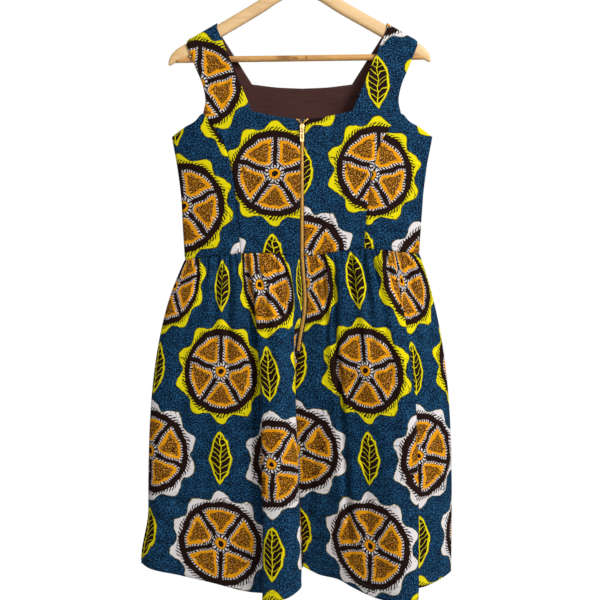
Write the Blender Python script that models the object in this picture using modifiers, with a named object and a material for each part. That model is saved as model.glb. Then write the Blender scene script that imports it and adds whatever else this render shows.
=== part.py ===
"""A sleeveless dress with a square neck, princess seams, a gathered skirt and an exposed metal zip, hung on a
wooden hanger with a trouser bar.

The scene is in metres, +Z up, and the front of the dress faces -Y. The origin is the inside top of the
hanger's hook, where a rail carries it. Lengths here are in millimetres: x from the centre line, positive to
the right of someone who looks at the front, and z below the rail. A height in a dress table is a drop below
the level of the pattern's neck point, a little above the inner end of the shoulder seam.
"""

import math

import bmesh
import bpy
import numpy as np
from mathutils import Vector

MM = 0.001
COLLECTION = "wax_print_dress"

# Cloth and seams
CLOTH = 1.2
LINING = 1.0
TAPE = 1.0
GAP = 0.3
SEAM = 0.8  # from the side seam's plane to the middle of each panel's wall
SHOULDER_Z = -146.0

# Shoulders, which lie over the hanger's arms
STRAP_TOP = 5.6  # drop of the shoulder seam's inner end
STRAP_INNER = 146.0
STRAP_OUTER = 198.0
SLOPE = 0.57
ROLL = 9.0
ROLL_BLEND = 130.0

# Bodice
# x, drop of the neckline's corners and of a point midway to the centre line
FRONT_NECK = (86.0, 157.0)
FRONT_NECK_MIDDLE = (46.0, 165.5)
FRONT_NECK_DROP = 171.0
BACK_NECK = (87.0, 107.0)
BACK_NECK_MIDDLE = (45.0, 112.0)
BACK_NECK_DROP = 114.0
ARMHOLE_END = (226.0, 200.0)
PRINCESS_START = (170.0, 160.0)
WAIST_DROP = 403.0
WAIST_HALF = 205.0
ZIP_EDGE = 4.0  # from the centre line to the cloth beside the chain
PANEL_GAP = 0.5
CENTRE_STEPS = 8  # rows down the centre front, from the neck to the waist
NECK_STEPS = 3
LINING_INSET = 1.5
LINING_MARGIN = 3.0

# drop, half width at the side seam, half depth at the centre
BODICE = (
    (0, 232, 12),
    (100, 232, 16),
    (160, 231, 20),
    (200, 226, 22),
    (245, 218, 22.5),
    (300, 211, 20.5),
    (350, 208, 18),
    (403, 205, 15),
)

# x, drop along the armhole, from the strap down to the side seam
ARMHOLE = ((STRAP_OUTER, 46), (184, 80), (170, 115), (166, 140), PRINCESS_START)
UNDERARM = ((176, 164), (184, 173), (203, 184), ARMHOLE_END)
# x, drop along the princess seam, from the armhole to the waist
PRINCESS = (PRINCESS_START, (149, 188), (131, 222), (120, 265), (113, 320), (107, WAIST_DROP))

# Skirt
SKIRT_TOP = WAIST_DROP + 0.9
SPREAD = 3.5  # how soon the cloth opens out below the waist
SWELL = 0.6  # how soon the folds stand out below the waist
GATHER_PITCH = 22.5
# drop below the waist, height of the gathers there
GATHERS = ((0, 1.0), (14, 3.0), (45, 3.6), (110, 2.2), (190, 0.8), (260, 0.0))
SKIRT_ROWS = (0.0, 0.018, 0.05, 0.1, 0.17, 0.24, 0.3, 0.33, 0.47, 0.64, 0.82, 1.0)
ZIP_SHARE = 0.3  # of the skirt's length, where the zip ends
# from the centre seam to the middle of each front's wall, which meet at an angle
CENTRE_SEAM = {-1: 0.8, 1: 0.4}

# Folds of the skirt, from left to right: x and y at the hem, x at the waist, drop of the hem
FRONT_LEFT_FOLDS = (
    (-273, 0, -205, 953),
    (-262, -10, -199, 957),
    (-206, -22, -173, 969),
    (-147, -38, -140, 979),
    (-90, -50, -110, 988),
    (-58, -58, -102, 990),
    (-67, -80, -97, 992),
    (-44, -96, -77, 988),
    (-19, -94, -50, 980),
    (-1, -76, -31, 970),
    (-8, -40, -18, 964),
    (2, 0, 0, 960),
)
FRONT_RIGHT_FOLDS = (
    (2, 0, 0, 960),
    (28, -10, 19, 970),
    (67, -30, 47, 974),
    (86, -44, 58, 981),
    (130, -70, 96, 993),
    (170, -89, 129, 993),
    (199, -80, 150, 989),
    (192, -54, 156, 983),
    (212, -42, 164, 982),
    (241, -25, 186, 975),
    (259, -9, 199, 970),
    (266, 0, 205, 968),
)
BACK_FOLDS = (
    (-273, 0, -205, 953),
    (-265, 12, -200, 956),
    (-230, 42, -178, 966),
    (-188, 74, -150, 979),
    (-150, 62, -126, 977),
    (-112, 40, -98, 972),
    (-70, 60, -68, 978),
    (-22, 92, -34, 989),
    (22, 84, -2, 987),
    (54, 50, 24, 976),
    (92, 42, 52, 972),
    (138, 66, 86, 978),
    (184, 86, 118, 985),
    (217, 62, 146, 979),
    (244, 28, 178, 974),
    (259, 10, 199, 970),
    (266, 0, 205, 968),
)

# Zip, which follows the centre front: drop and x of its middle line below the waist
ZIP_LINE = ((WAIST_DROP, 0), (430, 2), (490, 5), (566, -6))
CHAIN_WIDTH = 6.0
CHAIN_THICK = 2.4
CHAIN_PROUD = 1.8  # from the middle of the cloth to the chain's face
CHAIN_TOP = 188.0
TAPE_WIDTH = 14.0
TAPE_BEYOND = 6.0
SLIDER = (8.6, 13.0, 2.6)  # width, height, thickness
SLIDER_DROP = 186.0
BRIDGE = 1.4  # wire of the loop that carries the tab
BRIDGE_STAND = 3.2
BRIDGE_SPAN = 9.0
TAB_DROP = 187.0
TAB_LENGTH = 24.0
TAB_WIDTH = 7.0
TAB_THICK = 1.0
TAB_CORNER = 2.2
TAB_BAR = 1.4  # thickness of the bar that turns in the slider's loop
TAB_EYE = (4.4, 6.4)  # width, height of the opening below the bar
TAB_SLOT = (2.6, 9.0)
TAB_WEB = 2.6  # between the opening and the slot

# Hanger, which lies in the straps a little to the left and with its right end up
HANGER_SHIFT = -4.5
HANGER_TILT = 0.0135  # rise for each millimetre to the right
ARM = (13.0, 21.2)  # thickness, height
ARM_SIDES = 12
ARM_SQUARE = 2.5
ARM_STATIONS = 33
ARM_MIDDLE = STRAP_TOP + 15.6  # drop of an arm's middle line under the inner end of the shoulder seam
# x, drop and relative height along the middle of an arm, from the neck to the tip
ARM_LINE = (
    (0, ARM_MIDDLE - 77, 1.0),
    (30, ARM_MIDDLE - 67.4, 1.0),
    (70, ARM_MIDDLE + SLOPE * (70 - STRAP_INNER), 1.0),
    (STRAP_INNER, ARM_MIDDLE, 1.0),
    (STRAP_OUTER, ARM_MIDDLE + SLOPE * (STRAP_OUTER - STRAP_INNER), 1.0),
    (206, 54.8, 0.96),
    (214.4, 60.6, 0.79),
    (221.4, 68.2, 0.46),
    (224.8, 73.4, 0.17),
)
TIP_FULLNESS = 0.45  # how far the tip keeps its thickness as its height falls
BAR_DIAMETER = 10.5
BAR_DROP = 64.7
BAR_HALF = 213.0
HOOK_WIRE = 3.8
HOOK_RADIUS = 21.0

# Colour, roughness and metallic value of each finish
FINISHES = {
    "wax_print_cotton": ((0.03, 0.13, 0.22), 0.75, 0.0),
    "lining_cotton": ((0.07, 0.03, 0.025), 0.85, 0.0),
    "zip_tape": ((0.03, 0.05, 0.09), 0.85, 0.0),
    "zip_brass": ((0.62, 0.44, 0.16), 0.3, 1.0),
    "hanger_wood": ((0.72, 0.44, 0.2), 0.5, 0.0),
    "hook_steel": ((0.6, 0.6, 0.6), 0.25, 1.0),
}


def clear_scene():
    for obj in list(bpy.data.objects):
        bpy.data.objects.remove(obj)


def finish(name):
    """Material of that name, made the first time it is asked for."""
    found = bpy.data.materials.get(name)
    if found:
        return found
    colour, roughness, metallic = FINISHES[name]
    made = bpy.data.materials.new(name)
    made.use_nodes = True
    shader = made.node_tree.nodes["Principled BSDF"]
    shader.inputs["Base Color"].default_value = (*colour, 1.0)
    shader.inputs["Roughness"].default_value = roughness
    shader.inputs["Metallic"].default_value = metallic
    return made


def place(name, data, material, collection):
    obj = bpy.data.objects.new(name, data)
    data.materials.append(finish(material))
    collection.objects.link(obj)
    return obj


# Curves and surfaces


def smooth(rows, count, measure=2):
    """A table's rows joined by one smooth curve, read at even steps along its first columns."""
    points = np.array(rows, float)
    chord = np.maximum(np.linalg.norm(np.diff(points[:, :measure], axis=0), axis=1), 1.0)[:, None]
    slope = np.diff(points, axis=0) / chord
    inner = (slope[:-1] * chord[1:] + slope[1:] * chord[:-1]) / (chord[:-1] + chord[1:])
    tangent = np.vstack([slope[:1], inner, slope[-1:]])
    fine = [points[:1]]
    t = np.linspace(0, 1, 17)[1:, None]
    for i, length in enumerate(chord):
        start, end = points[i], points[i + 1]
        fine.append(
            start
            + tangent[i] * length * t * (1 - t) ** 2
            - tangent[i + 1] * length * t * t * (1 - t)
            + (end - start) * t * t * (3 - 2 * t)
        )
    fine = np.vstack(fine)
    steps = np.linalg.norm(np.diff(fine[:, :measure], axis=0), axis=1)
    run = np.concatenate([[0], np.cumsum(steps)])
    even = np.linspace(0, run[-1], count)
    return np.stack([np.interp(even, run, values) for values in fine.T], axis=1)


def ease(t):
    """0 to 1 with level ends."""
    t = np.clip(t, 0, 1)
    return t * t * (3 - 2 * t)


BODICE_LINES = smooth(BODICE, 80, measure=1)


def shoulder_drop(x):
    """Drop of the shoulder line, which follows the hanger's arm."""
    return STRAP_TOP + SLOPE * (np.abs(x) - STRAP_INNER)


def depth(x, drop):
    """How far the bodice's cloth stands from the plane of the side seams."""
    drops, widths, depths = BODICE_LINES.T
    below = drop - shoulder_drop(x)
    span = np.interp(drop, drops, widths)
    lens = SEAM + np.interp(drop, drops, depths) * np.sqrt(np.maximum(1 - (x / span) ** 2, 0))
    roll = np.sqrt(np.maximum(ROLL**2 - (ROLL - np.minimum(below, ROLL)) ** 2, 0))
    return roll + (lens - roll) * ease((below - ROLL) / ROLL_BLEND)


def on_bodice(flat, side):
    """Points of (x, drop) on the front, where side is -1, or the back, where it is 1."""
    x, drop = flat[..., 0], flat[..., 1]
    return np.stack([x, side * depth(x, drop), SHOULDER_Z - drop], axis=-1)


def roll_rows(x):
    """(x, drop) down the rolled top of a strap, at angles from the shoulder seam."""
    angles = np.radians([3, 35, 65, 90])
    return [(x, float(shoulder_drop(x)) + ROLL * (1 - math.cos(angle))) for angle in angles]


def join(*runs):
    """Runs of points end to end, each run's first point being the last one of the run before."""
    return np.vstack([np.array(runs[0])[:, :2], *(np.array(run)[1:, :2] for run in runs[1:])])


def between(inner, outer, columns, crowd=1.0):
    """A grid with a straight row from each inner point to its outer one, closer at the outer end."""
    across = (1 - (1 - np.linspace(0, 1, columns)) ** crowd)[None, :, None]
    return inner[:, None] * (1 - across) + outer[:, None] * across


def wall(name, grid, thickness, material, collection, mirrored=False):
    """A grid of points, rows by columns, given the thickness of its cloth."""
    mesh = bpy.data.meshes.new(name)
    bm = bmesh.new()
    rows = [[bm.verts.new(Vector(point) * MM) for point in row] for row in grid]
    for upper, lower in zip(rows, rows[1:]):
        for a, b, c, d in zip(upper, upper[1:], lower[1:], lower):
            bm.faces.new((a, d, c, b))
    bm.to_mesh(mesh)
    bm.free()
    mesh.shade_smooth()
    obj = place(name, mesh, material, collection)
    if mirrored:
        mirror = obj.modifiers.new("other half", "MIRROR")
        mirror.merge_threshold = 0.0001
    solidify = obj.modifiers.new("cloth", "SOLIDIFY")
    solidify.thickness = thickness * MM
    solidify.offset = 0.0
    return obj


# Bodice


def strap_top():
    return (STRAP_OUTER, float(shoulder_drop(STRAP_OUTER)) + ROLL)


def centre_panel(side):
    """Half front, from the neck to the princess seam, cut in one with its strap."""
    strap_steps = 5
    centre = (ZIP_EDGE, FRONT_NECK_DROP)
    inner = join(
        roll_rows(STRAP_INNER),
        smooth([(STRAP_INNER, STRAP_TOP + ROLL), FRONT_NECK], strap_steps + 1),
        smooth([FRONT_NECK, FRONT_NECK_MIDDLE, centre], NECK_STEPS + 1),
        smooth([centre, (ZIP_EDGE, WAIST_DROP)], CENTRE_STEPS + 1),
    )
    outer = join(
        roll_rows(STRAP_OUTER),
        smooth([strap_top(), *ARMHOLE[1:]], strap_steps + 1),
        smooth(PRINCESS, NECK_STEPS + CENTRE_STEPS + 1),
    )
    grid = on_bodice(between(inner, outer, 7), -1)
    grid[..., 0] *= side
    return grid


def side_panel(side):
    """Half front, from the princess seam to the armhole and the side seam."""
    armhole_steps = 4
    side_steps = NECK_STEPS + CENTRE_STEPS - armhole_steps
    inner = smooth(PRINCESS, armhole_steps + side_steps + 1) + [PANEL_GAP, 0]
    outer = join(
        smooth(UNDERARM, armhole_steps + 1),
        smooth([(row[1], row[0]) for row in BODICE[3:]], side_steps + 1),
    )
    grid = on_bodice(between(inner, outer, 6, crowd=1.5), -1)
    grid[..., 0] *= side
    return grid


def back_half():
    """Half of the back, from the centre line to the armhole and the side seam."""
    strap_steps, neck_steps, centre_steps, armhole_steps = 4, 3, 6, 7
    side_steps = strap_steps + neck_steps + centre_steps - armhole_steps
    centre = (0.0, BACK_NECK_DROP)
    inner = join(
        roll_rows(STRAP_INNER),
        smooth([(STRAP_INNER, STRAP_TOP + ROLL), BACK_NECK], strap_steps + 1),
        smooth([BACK_NECK, BACK_NECK_MIDDLE, centre], neck_steps + 1),
        smooth([centre, (0.0, WAIST_DROP)], centre_steps + 1),
    )
    outer = join(
        roll_rows(STRAP_OUTER),
        smooth([strap_top(), *ARMHOLE[1:], *UNDERARM[1:]], armhole_steps + 1),
        smooth([(row[1], row[0]) for row in BODICE[3:]], side_steps + 1),
    )
    return on_bodice(between(inner, outer, 9, crowd=1.5), 1)


def trimmed(line, beyond, margin):
    """Edge points of a grid drawn back by margin towards the points beyond them."""
    way = beyond - line
    return line + way * np.minimum(margin / np.linalg.norm(way, axis=-1, keepdims=True), 0.9)


def lining_half(back):
    """The back's points moved in by its wall, with the free edges a little short of its own."""
    down, across = np.gradient(back, axis=0), np.gradient(back, axis=1)
    inward = np.cross(down, across)
    inward[back[..., 0] == 0, 0] = 0
    inward /= np.linalg.norm(inward, axis=-1, keepdims=True)
    grid = back.copy()
    on_centre = back[:, 0, 0] == 0
    neck = int(np.argmax(on_centre))
    grid[:, -1] = trimmed(grid[:, -1], grid[:, -2], LINING_MARGIN)
    grid[:neck, 0] = trimmed(grid[:neck, 0], grid[:neck, 1], LINING_MARGIN)
    grid[neck, 0] = trimmed(grid[neck, 0], grid[neck + 1, 0], LINING_MARGIN)
    grid[-1] = trimmed(grid[-1], grid[-2], LINING_MARGIN)
    return grid + inward * LINING_INSET


def bodice(collection):
    for name, side in (("left", -1), ("right", 1)):
        wall(f"bodice_front_centre_{name}", centre_panel(side), CLOTH, "wax_print_cotton", collection)
        wall(f"bodice_front_side_{name}", side_panel(side), CLOTH, "wax_print_cotton", collection)
    back = back_half()
    wall("bodice_back", back, CLOTH, "wax_print_cotton", collection, mirrored=True)
    wall("lining_back", lining_half(back), LINING, "lining_cotton", collection, mirrored=True)


# Skirt


def zip_x(drop):
    """x of the zip's middle line and, below it, of the centre seam."""
    foot = FRONT_LEFT_FOLDS[-1]
    line = smooth([*ZIP_LINE, (foot[3], foot[0])], 60, measure=1)
    return np.interp(drop, line[:, 0], line[:, 1])


def skirt_y(waist_x, hem_y, v, side):
    """Depth of the skirt's cloth at a share v of its length."""
    at_waist = side * depth(waist_x, WAIST_DROP)
    return at_waist + (hem_y + side * SEAM - at_waist) * v**SWELL


def skirt_panel(folds, side, columns, zip_side=0):
    """Cloth gathered on to the waist and opening out into folds.

    zip_side is -1 where the panel ends at the zip on its right, 1 on its left and 0 with no zip.
    """
    hem_x, hem_y, waist_x, hem_drop = smooth(folds, columns, measure=3).T
    fade = ease((WAIST_HALF - np.abs(waist_x)) / 12)
    if zip_side:
        fade = fade * ease((np.abs(waist_x) - 8) / 12)
    rows = []
    for v in SKIRT_ROWS:
        x = waist_x + (hem_x - waist_x) * (1 - (1 - v) ** SPREAD)
        y = skirt_y(waist_x, hem_y, v, side)
        drop = SKIRT_TOP + (hem_drop - SKIRT_TOP) * v
        if zip_side:
            edge = -1 if zip_side < 0 else 0
            beside = ZIP_EDGE if v <= ZIP_SHARE else CENTRE_SEAM[zip_side]
            shift = zip_x(drop[edge]) + zip_side * beside - x[edge]
            x = x + shift * ease(1 - np.abs(waist_x) / 60)
        along = np.stack([np.gradient(x), np.gradient(y)])
        across = np.stack([along[1], -along[0]]) / np.linalg.norm(along, axis=0)
        height = np.interp(drop - WAIST_DROP, *np.array(GATHERS, float).T)
        wave = height * fade * np.cos(2 * math.pi * waist_x / GATHER_PITCH)
        rows.append(np.stack([x + across[0] * wave, y + across[1] * wave, SHOULDER_Z - drop], axis=1))
    return np.array(rows)


def skirt(collection):
    left = skirt_panel(FRONT_LEFT_FOLDS, -1, 38, zip_side=-1)
    right = skirt_panel(FRONT_RIGHT_FOLDS, -1, 38, zip_side=1)
    back = skirt_panel(BACK_FOLDS, 1, 66)
    wall("skirt_front_left", left, CLOTH, "wax_print_cotton", collection)
    wall("skirt_front_right", right, CLOTH, "wax_print_cotton", collection)
    wall("skirt_back", back, CLOTH, "wax_print_cotton", collection)


# Zip


def zip_y(drop):
    """Depth of the front's cloth along the zip."""
    foot = FRONT_LEFT_FOLDS[-1]
    v = np.clip((drop - SKIRT_TOP) / (foot[3] - SKIRT_TOP), 0, 1)
    return np.where(drop < SKIRT_TOP, -depth(0.0, drop), skirt_y(0.0, foot[1], v, -1))


def zip_drops(top, end):
    """Drops of a strip's rows, which are those of the cloth beside it."""
    foot = FRONT_LEFT_FOLDS[-1][3]
    cloth = np.concatenate([
        np.linspace(FRONT_NECK_DROP, WAIST_DROP, CENTRE_STEPS + 1),
        SKIRT_TOP + (foot - SKIRT_TOP) * np.array(SKIRT_ROWS),
    ])
    return np.array([top, *cloth[(cloth > top + 1) & (cloth < end - 1)], end])


def zip_strip(name, top, end, offsets, behind, thickness, material, collection):
    """A strip along the zip, with its edges at offsets from the middle line."""
    drops = zip_drops(top, end)
    x, y, z = zip_x(drops), zip_y(drops) + behind, SHOULDER_Z - drops
    grid = np.stack([np.stack([x + offset, y, z], axis=1) for offset in offsets], axis=1)
    return wall(name, grid, thickness, material, collection)


def outline(name, loops, thickness, centre, material, collection):
    """A flat piece that faces the front, from closed outlines of (x, z) about its centre."""
    curve = bpy.data.curves.new(name, "CURVE")
    curve.dimensions = "2D"
    curve.fill_mode = "BOTH"
    curve.extrude = thickness / 2 * MM
    for loop in loops:
        spline = curve.splines.new("POLY")
        spline.points.add(len(loop) - 1)
        for point, (x, z) in zip(spline.points, loop):
            point.co = (x * MM, z * MM, 0, 1)
        spline.use_cyclic_u = True
    obj = place(name, curve, material, collection)
    obj.location = Vector(centre) * MM
    obj.rotation_euler.x = math.pi / 2
    return obj


def tube(name, points, radius, material, collection, sides=2):
    curve = bpy.data.curves.new(name, "CURVE")
    curve.dimensions = "3D"
    curve.bevel_depth = radius * MM
    curve.bevel_resolution = sides
    curve.use_fill_caps = True
    spline = curve.splines.new("POLY")
    spline.points.add(len(points) - 1)
    for point, place_on in zip(spline.points, points):
        point.co = (*(Vector(place_on) * MM), 1)
    return place(name, curve, material, collection)


def as_mesh(curve_obj, collection):
    """The curve's solid as a mesh object of the same name, with its caps joined to its sides."""
    name = curve_obj.name
    curve_obj.name = name + "_curve"
    bpy.context.view_layer.update()
    evaluated = curve_obj.evaluated_get(bpy.context.evaluated_depsgraph_get())
    mesh = bpy.data.meshes.new_from_object(evaluated)
    mesh.name = name
    bm = bmesh.new()
    bm.from_mesh(mesh)
    bmesh.ops.remove_doubles(bm, verts=bm.verts, dist=0.00001)
    bm.to_mesh(mesh)
    bm.free()
    obj = bpy.data.objects.new(name, mesh)
    obj.matrix_world = curve_obj.matrix_world
    bpy.data.objects.remove(curve_obj)
    collection.objects.link(obj)
    return obj


def boolean(obj, operation, other):
    modifier = obj.modifiers.new(operation.lower(), "BOOLEAN")
    modifier.operation = operation
    modifier.object = other
    other.hide_render = True
    other.display_type = "WIRE"


def rounded(width, height, radius, middle=0.0, steps=3):
    """Closed outline of a rectangle with round corners, its middle at that height."""
    corners = ((1, 1, 0), (-1, 1, 90), (-1, -1, 180), (1, -1, 270))
    points = []
    for x, z, start in corners:
        for step in range(steps + 1):
            angle = math.radians(start + 90 * step / steps)
            points.append((
                x * (width / 2 - radius) + radius * math.cos(angle),
                middle + z * (height / 2 - radius) + radius * math.sin(angle),
            ))
    return points


def slider_face(drop):
    """Depth of the slider's front face. Its foot lies on the chain."""
    return float(zip_y(drop + SLIDER[1] / 2)) - CHAIN_PROUD - GAP - SLIDER[2]


def slider(collection, cutters):
    width, height, thickness = SLIDER
    face = slider_face(SLIDER_DROP)
    shield = [
        (-width / 2, height * 0.36), (-width * 0.36, height / 2), (width * 0.36, height / 2),
        (width / 2, height * 0.36), (width * 0.43, -height * 0.36), (width * 0.3, -height / 2),
        (-width * 0.3, -height / 2), (-width * 0.43, -height * 0.36),
    ]
    centre = (0, face + thickness / 2, SHOULDER_Z - SLIDER_DROP)
    plate = outline("zip_slider", [shield], thickness, centre, "zip_brass", collection)
    plate = as_mesh(plate, collection)
    arch = [
        (0, face + thickness / 2 - (BRIDGE_STAND + thickness / 2) * min(1, 1.25 * math.sin(angle)),
         centre[2] + BRIDGE_SPAN / 2 * math.cos(angle))
        for angle in np.linspace(0, math.pi, 9)
    ]
    bridge = as_mesh(tube("zip_bridge", arch, BRIDGE / 2, "zip_brass", cutters), cutters)
    boolean(plate, "UNION", bridge)


def tab(collection):
    """The tab hangs on its pivot bar, whose middle is on the hinge's axis."""
    eye_foot = -TAB_BAR / 2 - TAB_EYE[1]
    loops = [
        rounded(TAB_WIDTH, TAB_LENGTH, TAB_CORNER, TAB_BAR / 2 - TAB_LENGTH / 2),
        rounded(*TAB_EYE, TAB_EYE[0] / 4, eye_foot + TAB_EYE[1] / 2),
        rounded(*TAB_SLOT, TAB_SLOT[0] * 0.48, eye_foot - TAB_WEB - TAB_SLOT[1] / 2),
    ]
    outline("zip_pull", loops, TAB_THICK, tab_axis(), "zip_brass", collection)


def tab_axis():
    opening = BRIDGE_STAND - BRIDGE / 2
    return (0, slider_face(SLIDER_DROP) - opening / 2, SHOULDER_Z - TAB_DROP)


def zip_end():
    return SKIRT_TOP + (FRONT_LEFT_FOLDS[-1][3] - SKIRT_TOP) * ZIP_SHARE


def zipper(collection, cutters):
    end = zip_end()
    cloth_to_tape = CLOTH / 2 + GAP + TAPE / 2
    for name, offsets in (("left", (-TAPE_WIDTH, -GAP)), ("right", (GAP, TAPE_WIDTH))):
        zip_strip(
            f"zip_tape_{name}", FRONT_NECK_DROP, end + TAPE_BEYOND, offsets, cloth_to_tape, TAPE,
            "zip_tape", collection,
        )
    edges = (-CHAIN_WIDTH / 2, 0, CHAIN_WIDTH / 2)
    behind = CHAIN_THICK / 2 - CHAIN_PROUD
    zip_strip("zip_chain", CHAIN_TOP, end, edges, behind, CHAIN_THICK, "zip_brass", collection)
    slider(collection, cutters)
    tab(collection)


# Hanger


def on_hanger(flat):
    """(x, drop) of points on the hanger, moved to where it lies in the dress."""
    x = flat[..., 0] + HANGER_SHIFT
    return np.stack([x, flat[..., 1] - HANGER_TILT * x], axis=-1)


def arm_solid(name, collection, clearance=0.0):
    """Both arms in one: a flattened round section led along the shoulder line and down at the tips."""
    thickness, height = ARM
    half = smooth(ARM_LINE, ARM_STATIONS)
    line = np.vstack([half[::-1] * [-1, 1, 1], half[1:]])
    line[:, :2] = on_hanger(line[:, :2])
    mesh = bpy.data.meshes.new(name)
    bm = bmesh.new()
    rings = []
    forward = np.gradient(line[:, :2], axis=0)
    for (x, drop, share), (run, fall) in zip(line, forward):
        up = np.array([fall, run]) / math.hypot(run, fall)
        ring = []
        for step in range(ARM_SIDES):
            angle = 2 * math.pi * step / ARM_SIDES
            across, along = math.cos(angle), math.sin(angle)
            size = (abs(across) ** ARM_SQUARE + abs(along) ** ARM_SQUARE) ** (-1 / ARM_SQUARE)
            y = size * across * (thickness / 2 * share**TIP_FULLNESS + clearance)
            lift = size * along * (height / 2 * share + clearance)
            ring.append(bm.verts.new(Vector((x + up[0] * lift, y, SHOULDER_Z - drop + up[1] * lift)) * MM))
        rings.append(ring)
    for ring, following in zip(rings, rings[1:]):
        for i in range(ARM_SIDES):
            j = (i + 1) % ARM_SIDES
            bm.faces.new((ring[i], ring[j], following[j], following[i]))
    bm.faces.new(rings[0][::-1])
    bm.faces.new(rings[-1])
    bmesh.ops.recalc_face_normals(bm, faces=bm.faces)
    bm.to_mesh(mesh)
    bm.free()
    mesh.shade_smooth()
    return place(name, mesh, "hanger_wood", collection)


def hook_line():
    """Centre line of the hook, from its foot on the arms up and over the rail."""
    radius = HOOK_RADIUS + HOOK_WIRE / 2
    x, drop = on_hanger(np.array(ARM_LINE[0][:2]))
    foot = SHOULDER_Z - drop + ARM[1] / 2 + GAP
    shank = [(x, foot), (x, foot + 8), (x + 0.5, foot + 16), (5, foot + 21.5)]
    turn = [
        (radius * math.cos(math.radians(angle)), -HOOK_RADIUS + radius * math.sin(math.radians(angle)))
        for angle in range(-30, 205, 13)
    ]
    return [(x, 0, z) for x, z in smooth(shank + turn, 34)]


def hanger(collection, cutters):
    arm_solid("hanger_arms", collection)
    line = on_hanger(np.array([(x, BAR_DROP) for x in (-BAR_HALF, 0, BAR_HALF)]))
    ends = [(x, 0, SHOULDER_Z - drop) for x, drop in line]
    bar = as_mesh(tube("hanger_bar", ends, BAR_DIAMETER / 2, "hanger_wood", collection, sides=4), collection)
    boolean(bar, "DIFFERENCE", arm_solid("arm_clearance", cutters, GAP))
    tube("hanger_hook", hook_line(), HOOK_WIRE / 2, "hook_steel", collection)


def main():
    clear_scene()
    dress = bpy.data.collections.new(COLLECTION)
    cutters = bpy.data.collections.new("cutters")
    bpy.context.scene.collection.children.link(dress)
    bpy.context.scene.collection.children.link(cutters)
    bodice(dress)
    skirt(dress)
    zipper(dress, cutters)
    hanger(dress, cutters)


if __name__ == "__main__":
    main()
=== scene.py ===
"""The looks of a sleeveless wax print dress with a gathered skirt and a metal zip, on its wooden hanger.

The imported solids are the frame, and every piece here stands for one of them or lies on one. The scene is in
metres, +Z up, and the front of the dress faces -Y. Tables and lengths below are in millimetres, unless a
comment says otherwise: x is from the centre line, and a drop is measured down from the level of the pattern's
neck point, as in the part's source.
"""

import math

import bmesh
import bpy
import numpy as np
from bpy.props import FloatProperty, FloatVectorProperty, IntProperty, PointerProperty
from mathutils import Matrix, Vector


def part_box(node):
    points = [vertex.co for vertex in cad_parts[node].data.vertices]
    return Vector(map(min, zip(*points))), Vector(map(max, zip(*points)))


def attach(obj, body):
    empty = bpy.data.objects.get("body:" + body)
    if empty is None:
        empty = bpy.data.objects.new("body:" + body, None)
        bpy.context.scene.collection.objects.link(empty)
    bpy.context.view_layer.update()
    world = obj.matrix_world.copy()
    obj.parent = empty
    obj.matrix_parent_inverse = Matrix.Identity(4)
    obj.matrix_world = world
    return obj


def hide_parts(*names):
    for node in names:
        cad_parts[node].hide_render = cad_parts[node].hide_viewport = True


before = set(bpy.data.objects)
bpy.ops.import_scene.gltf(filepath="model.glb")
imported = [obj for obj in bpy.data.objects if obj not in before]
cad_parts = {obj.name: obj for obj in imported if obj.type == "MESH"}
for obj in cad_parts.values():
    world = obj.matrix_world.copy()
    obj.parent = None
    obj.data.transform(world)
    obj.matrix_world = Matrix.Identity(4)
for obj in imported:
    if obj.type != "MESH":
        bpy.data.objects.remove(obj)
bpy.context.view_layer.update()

bl_info = {
    "name": "Wax Print Dress",
    "version": (1, 0, 0),
    "blender": (4, 5, 0),
    "location": "View3D > Sidebar > Dress",
    "description": "Builds a wax print dress on a hanger over its packed solids",
    "category": "Object",
}

MM = 0.001
BODY = "dress_and_hanger"
TAB_BODY = "zip_tab"

# Cloth and seams
CLOTH = 1.2
LINING = 1.0
TAPE = 1.0
GAP = 0.3
SEAM = 0.8  # from the side seam's plane to the middle of each panel's wall
PANEL_GAP = 0.05
LINING_INSET = 1.5
LINING_MARGIN = 3.0
# how much nearer the front and back lie at the side seams than in the solids, in the skirt and the bodice
SKIRT_CLOSED = 0.22
BODICE_CLOSED = 0.7

# Shoulders, which lie over the hanger's arms
SHOULDER_Z = -146.0
STRAP_TOP = 5.6  # drop of the shoulder seam's inner end
STRAP_INNER = 146.0
STRAP_OUTER = 198.0
SLOPE = 0.57
ROLL = 9.0
ROLL_BLEND = 130.0

# Bodice
# x, drop of the neckline's corners and of a point midway to the centre line
FRONT_NECK = (86.0, 157.0)
FRONT_NECK_MIDDLE = (46.0, 165.5)
FRONT_NECK_DROP = 171.0
BACK_NECK = (87.0, 107.0)
BACK_NECK_MIDDLE = (45.0, 112.0)
BACK_NECK_DROP = 114.0
ARMHOLE_END = (226.0, 200.0)
PRINCESS_START = (170.0, 160.0)
WAIST_DROP = 403.0
WAIST_HALF = 205.0
ZIP_EDGE = 4.7  # from the centre line to the cloth beside the chain
ZIP_FLARE = 1.8  # how much wider the cloth parts at the neckline

# drop, half width at the side seam, half depth at the centre
BODICE = (
    (0, 232, 12), (100, 232, 16), (160, 231, 20), (200, 226, 22), (245, 218, 22.5), (300, 211, 20.5),
    (350, 208, 18), (403, 205, 15),
)

# x, drop along the armhole and along the princess seam
ARMHOLE = ((STRAP_OUTER, 46), (184, 80), (170, 115), (166, 140), PRINCESS_START)
UNDERARM = ((176, 164), (184, 173), (203, 184), ARMHOLE_END)
PRINCESS = (PRINCESS_START, (149, 188), (131, 222), (120, 265), (113, 320), (107, WAIST_DROP))

# x, drop of the uneven waist seam below its mean level, on the front and the back
WAIST_DIPS = {
    -1: (
        (-205, 9), (-150, 3), (-95, -2), (-50, -1.5), (-12, 2.5), (20, 1.5), (65, -6), (105, -10), (155, -6),
        (205, -1),
    ),
    1: ((-205, 9), (-120, 1), (-40, -3), (60, 3), (130, -2), (205, -1)),
}
DIP_REACH = 60.0

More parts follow.
